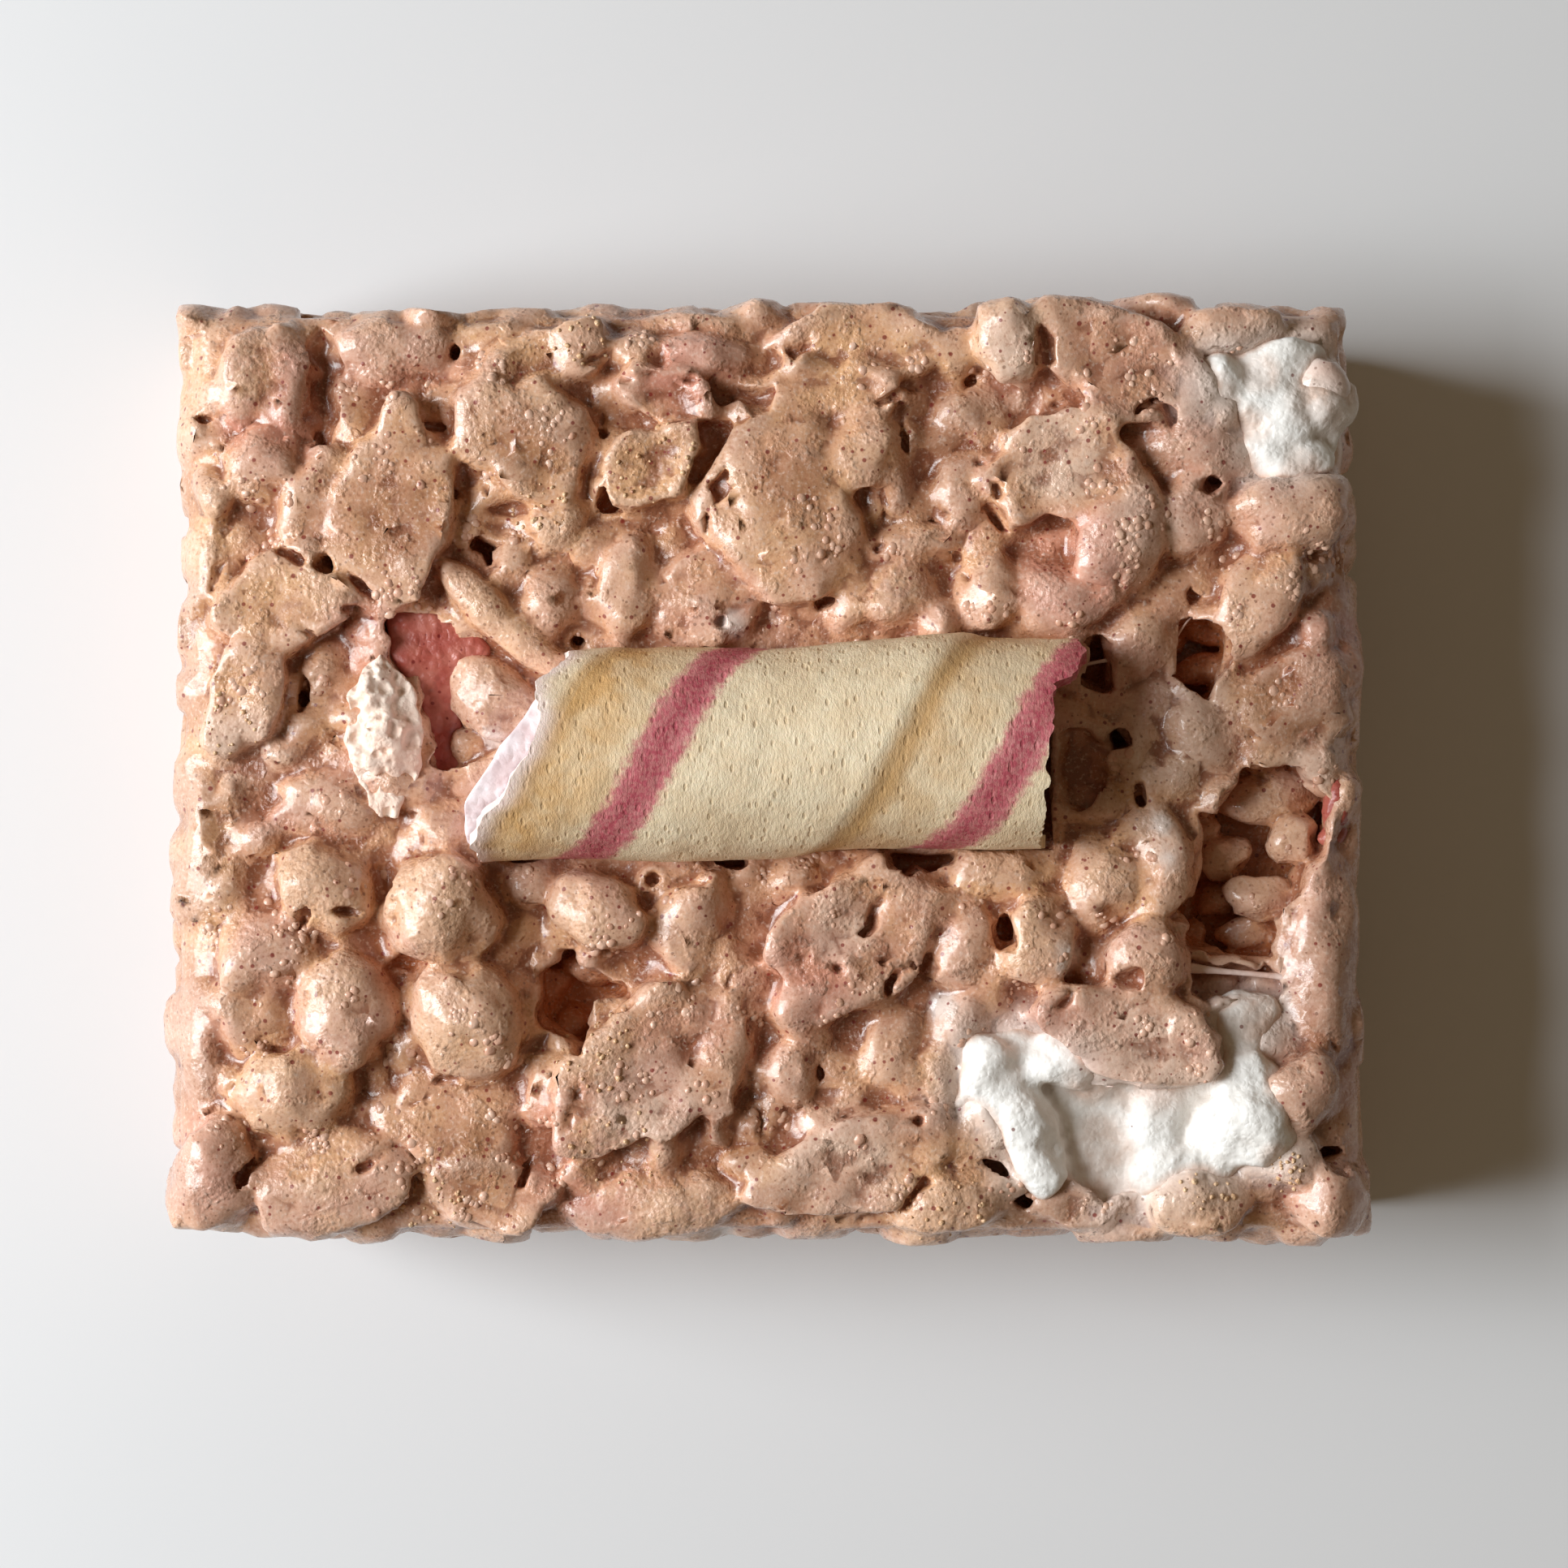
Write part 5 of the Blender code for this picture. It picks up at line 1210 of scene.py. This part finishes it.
def makeWafer():
    tone = {key: colorOf(*value) for key, value in waferSettings.items()}
    material, n, shader, place = newFinish("bakedWafer", 0.62, {
        "Specular IOR Level": 0.35, "Subsurface Weight": 0.05, "Subsurface Radius": (1.0, 0.45, 0.25),
        "Subsurface Scale": 1.4 * mm,
    })
    parts = n.add("SeparateXYZ", {0: n.add("UVMap", uv_map="UVMap").outputs[0]}).outputs
    along = n.times(n.minus(parts[0], 0.5), 60.0)  # mm from the middle
    wobble = n.times(n.minus(n.noise(place, 0.32, 4.0, 0.65), 0.5), 1.5)
    turns = n.math("DIVIDE", n.minus(n.plus(along, wobble), roll["seamAt"]), roll["pitch"])
    phase = n.math("FRACT", n.minus(turns, n.minus(parts[1], 0.5)))
    fromStripe = n.times(n.math("ABSOLUTE", n.minus(phase, stripeFrom)), roll["pitch"])
    fromStripe = n.plus(fromStripe, n.times(n.minus(n.noise(place, 1.3, 3.0, 0.7), 0.5), 2.2))
    fromSeam = n.times(n.math("MINIMUM", phase, n.minus(1.0, phase)), roll["pitch"])
    mottle, grainy = n.group("mottle", place, 0.28), n.group("mottle", place, 2.2)
    toast = n.times(n.ramp(phase, 0.42, 0.02), n.ramp(mottle, 0.0, 1.0, (0.6, 1.0)))
    toast = n.times(toast, n.ramp(along, 4.0, -8.0, (0.5, 1.0)))
    # long pores run around the roll
    spot = n.add("CombineXYZ", {0: along, 1: n.times(parts[1], 24.0), 2: 0.0}).outputs[0]
    pore = n.ramp(n.add("TexVoronoi", {"Vector": spot, "Scale": 1.5, "Randomness": 1.0}).outputs["Distance"], 0.3, 0.12)
    stripe = n.times(n.ramp(fromStripe, stripeHalf + 0.5, stripeHalf - 0.7), n.ramp(grainy, 0.1, 1.0, (0.8, 1.0)))
    color = n.layers(tone["pale"], [
        (toast, tone["toasted"]),
        (n.times(mottle, 0.22), tone["toasted"]),
        (n.ramp(fromSeam, 1.9, 0.3, (0.0, 0.85)), tone["seam"]),
        (n.times(pore, 0.34), tone["pore"]),
        (stripe, n.mix(n.ramp(fromStripe, 1.7, 0.3), tone["stripeSoft"], tone["stripe"])),
        (n.times(grainy, 0.12), tone["cut"]),
        (n.ramp(n.attribute("rim"), 0.1, 0.9, (0.0, 0.85)), tone["rim"]),
    ])
    height = n.minus(n.times(n.noise(spot, 3.2, 4.0, 0.7), 0.13), n.times(pore, 0.05))
    n.finish(shader, color, n.ramp(grainy, 0.0, 1.0, (0.52, 0.74)), height)
    return material


# one maker for the simpler finishes: two tones in soft patches, painted shade in the dips, specks and a grain
softSettings = {
    "whitePuff": {"tones": [(255, 253, 249), (240, 236, 230)], "dip": (184, 166, 150), "dipShare": 0.6,
                  "film": (214, 178, 156), "speck": (120, 60, 50), "share": 0.02,
                  "roughness": 0.5, "coat": 0.1, "grain": 0.04, "density": 1.8},
    "mauveCream": {"tones": [(252, 240, 244), (226, 204, 206)], "dip": (160, 122, 118), "dipShare": 0.5,
                   "speck": (160, 110, 100), "share": 0.02,
                   "roughness": 0.5, "coat": 0.0, "grain": 0.06, "density": 1.2},
    "driedBerry": {"tones": [(188, 108, 92), (168, 78, 66)], "dip": (120, 34, 26), "dipShare": 0.6,
                   "deep": (190, 28, 20), "speck": (120, 20, 24), "share": 0.6,
                   "roughness": 0.4, "coat": 0.28, "grain": 0.07, "density": 1.4},
    "porousCrumb": {"tones": [(252, 232, 216), (246, 212, 192)], "dip": (234, 190, 162), "dipShare": 0.2,
                    "speck": (146, 84, 58), "share": 0.1,
                    "roughness": 0.6, "coat": 0.1, "grain": 0.05, "density": 2.2},
    "pulledSugar": {"tones": [(246, 220, 210), (230, 190, 174)], "dip": (190, 130, 110), "dipShare": 0.3,
                    "speck": (150, 60, 50), "share": 0.02,
                    "roughness": 0.25, "coat": 0.5, "grain": 0.03, "density": 1.6},
    "goldenGrit": {"tones": [(232, 196, 156), (218, 170, 126)], "dip": (170, 110, 70), "dipShare": 0.3,
                   "speck": (150, 80, 50), "share": 0.1,
                   "roughness": 0.35, "coat": 0.3, "grain": 0.05, "density": 3.0},
    "glazeBubble": {"tones": [(214, 164, 138), (226, 186, 162)], "dip": (180, 110, 80), "dipShare": 0.3,
                    "speck": (130, 50, 40), "share": 0.15,
                    "roughness": 0.34, "coat": 0.35, "grain": 0.03, "density": 2.0},
}


def makeSoftFinish(name):
    s = softSettings[name]
    material, n, shader, place = newFinish(name, s["roughness"], {"Coat Weight": s["coat"], "Coat Roughness": 0.12})
    patches = n.group("mottle", place, 0.35)
    color = n.mix(patches, colorOf(*s["tones"][0]), colorOf(*s["tones"][1]))
    # painted shade: darker where the skin lies in a hollow
    coats = [(n.ramp(n.attribute("dip"), 0.0, 0.9, (0.0, s["dipShare"])), colorOf(*s["dip"]))]
    if "deep" in s:  # the part that lies deep in its hole
        coats.append((n.attribute("deep"), colorOf(*s["deep"])))
    if "film" in s:  # a thin film of glaze, which at (28, -31) is painted shade too
        coats.append((n.times(n.attribute("film"), n.ramp(patches, 0.0, 1.0, (0.55, 0.9))), colorOf(*s["film"])))
    coats.append((n.times(n.group("specks", place, 0.7, s["share"]), 0.8), colorOf(*s["speck"])))
    roughness = n.ramp(n.group("mottle", place, 1.6), 0.0, 1.0, (s["roughness"] - 0.08, s["roughness"] + 0.1))
    relief = n.plus(n.group("blisters", place, s["density"]), n.noise(place, s["density"], 5.0, 0.7))
    n.finish(shader, n.layers(color, coats), roughness, n.times(relief, s["grain"]))
    return material


dressing = [  # piece, finish, the node that it stands for, material slot
    (mass, makeGlaze(), "cereal_block", "glazed_cereal"),
    (shell, makeWafer(), "wafer_roll", "baked_wafer"),
    (cream, makeSoftFinish("mauveCream"), "roll_cream", "cream"),
    (marshmallowFront, makeSoftFinish("whitePuff"), "marshmallow_front", "marshmallow"),
    (marshmallowBack, bpy.data.materials["whitePuff"], "marshmallow_back", "marshmallow"),
    (berry, makeSoftFinish("driedBerry"), "berry_piece", "strawberry"),
    (berryBit, bpy.data.materials["driedBerry"], "berry_bit_side", "strawberry"),
    (crumb, makeSoftFinish("porousCrumb"), "pale_crumb", "crumb"),
    (threads, makeSoftFinish("pulledSugar"), None, "marshmallow"),
    (crumbs, makeSoftFinish("goldenGrit"), None, "glazed_cereal"),
    (bubbles, makeSoftFinish("glazeBubble"), None, "glazed_cereal"),
]
for piece, finish, nodeName, slotName in dressing:
    piece.data.materials.clear()
    piece.data.materials.append(finish)
    if nodeName:
        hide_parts(nodeName)
    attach(piece, "root")
print("pieces dressed", len(dressing))


# floor, light and camera

stageSettings = {
    "floor": (232, 233, 235), "window": (-0.62, 0.02, 0.4), "windowSize": (0.38, 0.58), "power": 9.0,
    "windowColor": (0.93, 0.97, 1.0), "room": (1.0, 0.74, 0.44, 1.0), "roomStrength": 0.12,
    "center": (1.26, -0.92), "height": 300.0, "frameLevel": 23.0, "frameWidth": 131.4,  # the camera, in mm
}


def makeFloor():
    deselect()
    bpy.ops.mesh.primitive_plane_add(size=2.4, location=(0, 0, 0))
    floor = bpy.context.object
    floor.name = "floor"
    pale = bpy.data.materials.new("floorPale")
    pale.use_nodes = True
    surface = pale.node_tree.nodes["Principled BSDF"]
    surface.inputs["Base Color"].default_value = colorOf(*stageSettings["floor"])
    surface.inputs["Roughness"].default_value = 0.5
    floor.data.materials.append(pale)


def makeLight():
    place = Vector(stageSettings["window"])
    deselect()
    bpy.ops.object.light_add(type="AREA", location=place)
    light = bpy.context.object
    light.name = "windowLight"
    light.data.shape = "RECTANGLE"
    light.data.size, light.data.size_y = stageSettings["windowSize"]
    light.data.energy = stageSettings["power"]
    light.data.color = stageSettings["windowColor"]
    light.rotation_euler = (-place).to_track_quat("-Z", "Y").to_euler()
    world = bpy.data.worlds.new("room")
    scene.world = world
    world.use_nodes = True
    background = world.node_tree.nodes["Background"].inputs
    background["Color"].default_value = stageSettings["room"]
    background["Strength"].default_value = stageSettings["roomStrength"]


def makeCamera():
    x, y = stageSettings["center"]
    height = stageSettings["height"]
    deselect()
    bpy.ops.object.camera_add(location=(x * mm, y * mm, height * mm), rotation=(0, 0, 0))
    camera = bpy.context.object
    camera.data.sensor_width = 36
    camera.data.lens = 36 * (height - stageSettings["frameLevel"]) / stageSettings["frameWidth"]
    camera.data.clip_start = 0.01
    scene.camera = camera


makeFloor()
makeLight()
makeCamera()
scene.view_settings.view_transform = "Standard"
